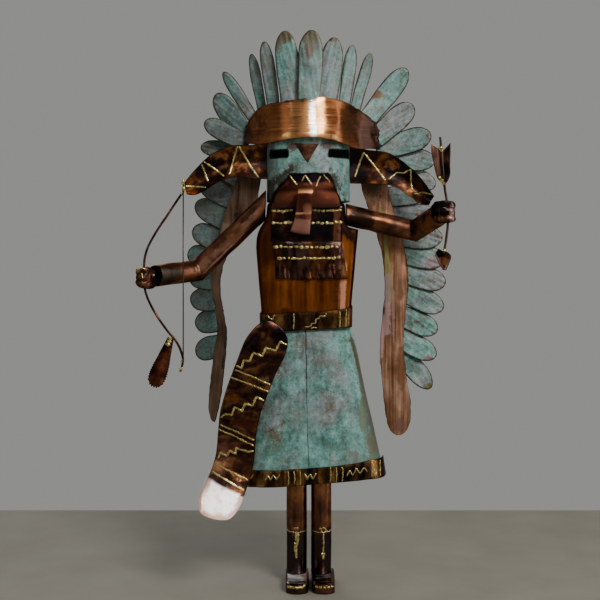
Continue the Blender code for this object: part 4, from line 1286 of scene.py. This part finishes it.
# --- Arms and what they hold
PIPE_RADIUS = 14.3
PIPE_WALL = 1.3
PIPE_SIDES = 56
PIPE_STEP = 3.0
ARMS = {  # shoulder, elbow and wrist, then the normals of the cuts there; None follows the pipe
    "bow": (((-59.4, -8, 525.8), (-152, -9, 437), (-206.5, -48, 431)), ((-1, 0, 0), None, (-0.6, -0.8, 0))),
    "arrow": (((50.4, -8, 512.9), (144, -9, 491), (173, -49, 513)), ((1, 0, 0), None, None)),
}


def mitred_pipe(name, stations, planes):
    """Straight runs of pipe cut to meet at a mitre."""
    stations = [Vector(s) for s in stations]
    runs = [(b - a).normalized() for a, b in zip(stations, stations[1:])]
    cross = runs[0].cross(-TOWARD_VIEWER).normalized()
    up = cross.cross(runs[0]).normalized()
    rings = []
    for station, plane, before, after in zip(stations, planes, runs[:1] + runs, runs + runs[-1:]):
        normal = Vector(plane) if plane else before + after
        ring = []
        for j in range(PIPE_SIDES):
            angle = 2 * pi * j / PIPE_SIDES
            point = station + cross * (PIPE_RADIUS * cos(angle)) + up * (PIPE_RADIUS * sin(angle))
            ring.append(point + before * ((station - point).dot(normal) / before.dot(normal)))
        rings.append(ring)
        turn = before.rotation_difference(after)
        cross = turn @ cross
        up = turn @ up
    rows = [rings[0]]
    for a, b in zip(rings, rings[1:]):
        count = max(1, round((sum(b, Vector()) - sum(a, Vector())).length / PIPE_SIDES / PIPE_STEP))
        for k in range(1, count + 1):
            rows.append([p.lerp(q, k / count) for p, q in zip(a, b)])
    if (rows[1][0] - rows[0][0]).dot((rows[0][1] - rows[0][0]).cross(rows[0][0] - stations[0])) > 0:
        rows = [row[::-1] for row in rows]
    return sheet(name, rows, PIPE_WALL, -1.0, closed=True)


def arm_form(p):
    """Shallow dents left by the vice and the torch."""
    return noise.noise_vector(p / 17) * 0.45


def hand_form(p):
    """Crumpled strip."""
    return noise.noise_vector(p / 7) * 1.1 + noise.noise_vector(p / 3) * 0.35


def make_arms():
    for side, (stations, planes) in ARMS.items():
        node = "arm_%s_side" % side
        arm = mitred_pipe(node + "_metal", stations, planes)
        worked_metal(arm, 0.25, form=arm_form, angle=18)
        dress(arm, node)
    for side in ARMS:
        refine("hand_%s_side" % side, levels=3, crease=80, form=hand_form)
    lay_lines("hand_brass", "hand_bow_side")


def bow_feather_form(p):
    """Snipped edges along the lower half of the feather that hangs from the bow."""
    along = Vector((-0.334, 0, -0.943))
    across = Vector((0.943, 0, -0.334))
    reach = (p.x + 184) * along.x + (p.z - 349) * along.z
    side = (p.x + 184) * across.x + (p.z - 349) * across.z
    low = clamp((reach - 20) / 14)
    tip = clamp((reach - 56) / 8)
    edge = min(abs(side) / 10, 1) ** 3
    flank = across * (copysign(1.0, side) * edge * low * 1.7 * (abs(reach / 3.4 % 1.0 - 0.5) * 2 - 0.5))
    return flank + along * (tip * 2.6 * (abs(side / 3.4 % 1.0 - 0.5) * 2 - 0.5))


DROPS = (  # name, nodes they lie on, proportions, ripples, (x, z, size) of each drop
    ("bow_brass", ("bow", "bowstring"), (1, 0.8, 1.3), 0.5,
     ((-167.3, 556, 2.4), (-166.8, 547, 2.2), (-168.2, 541, 2.0), (-169.6, 318, 2.2), (-171.5, 307, 2.0))),
    ("bow_feather_binding", ("bow_feather",), (1, 0.7, 1), 0.6,
     ((-186, 345, 2.6), (-187.5, 341, 3.0), (-185, 348, 2.2))),
    ("arrow_brass", ("arrow",), (1.2, 0.7, 1), 0.6,
     ((171.5, 600, 2.2), (173, 596, 1.8), (171, 561, 1.8), (174, 557, 2.4), (176, 553, 1.8),
      (178, 466, 1.8))))


def make_weapons():
    refine("bow", levels=1, crease=70, edge=0)
    refine("bowstring", levels=1, crease=70, edge=0)
    refine("bow_feather", levels=4, form=bow_feather_form, material="torched_leaf")
    refine("arrow", levels=3, crease=50, edge=0.15)
    for name, nodes, proportions, ripples, drops in DROPS:
        trim = Braze(name, *nodes)
        for x, z, size in drops:
            trim.blob(x, z, [size * share for share in proportions], ripples)
        trim.finish()


make_materials()
make_camera()
make_surroundings()
make_legs()
make_skirt_and_sash()
make_torso()
make_mask()
make_face()
make_headdress()
make_feathers()
make_arms()
make_weapons()

bpy.context.view_layer.update()
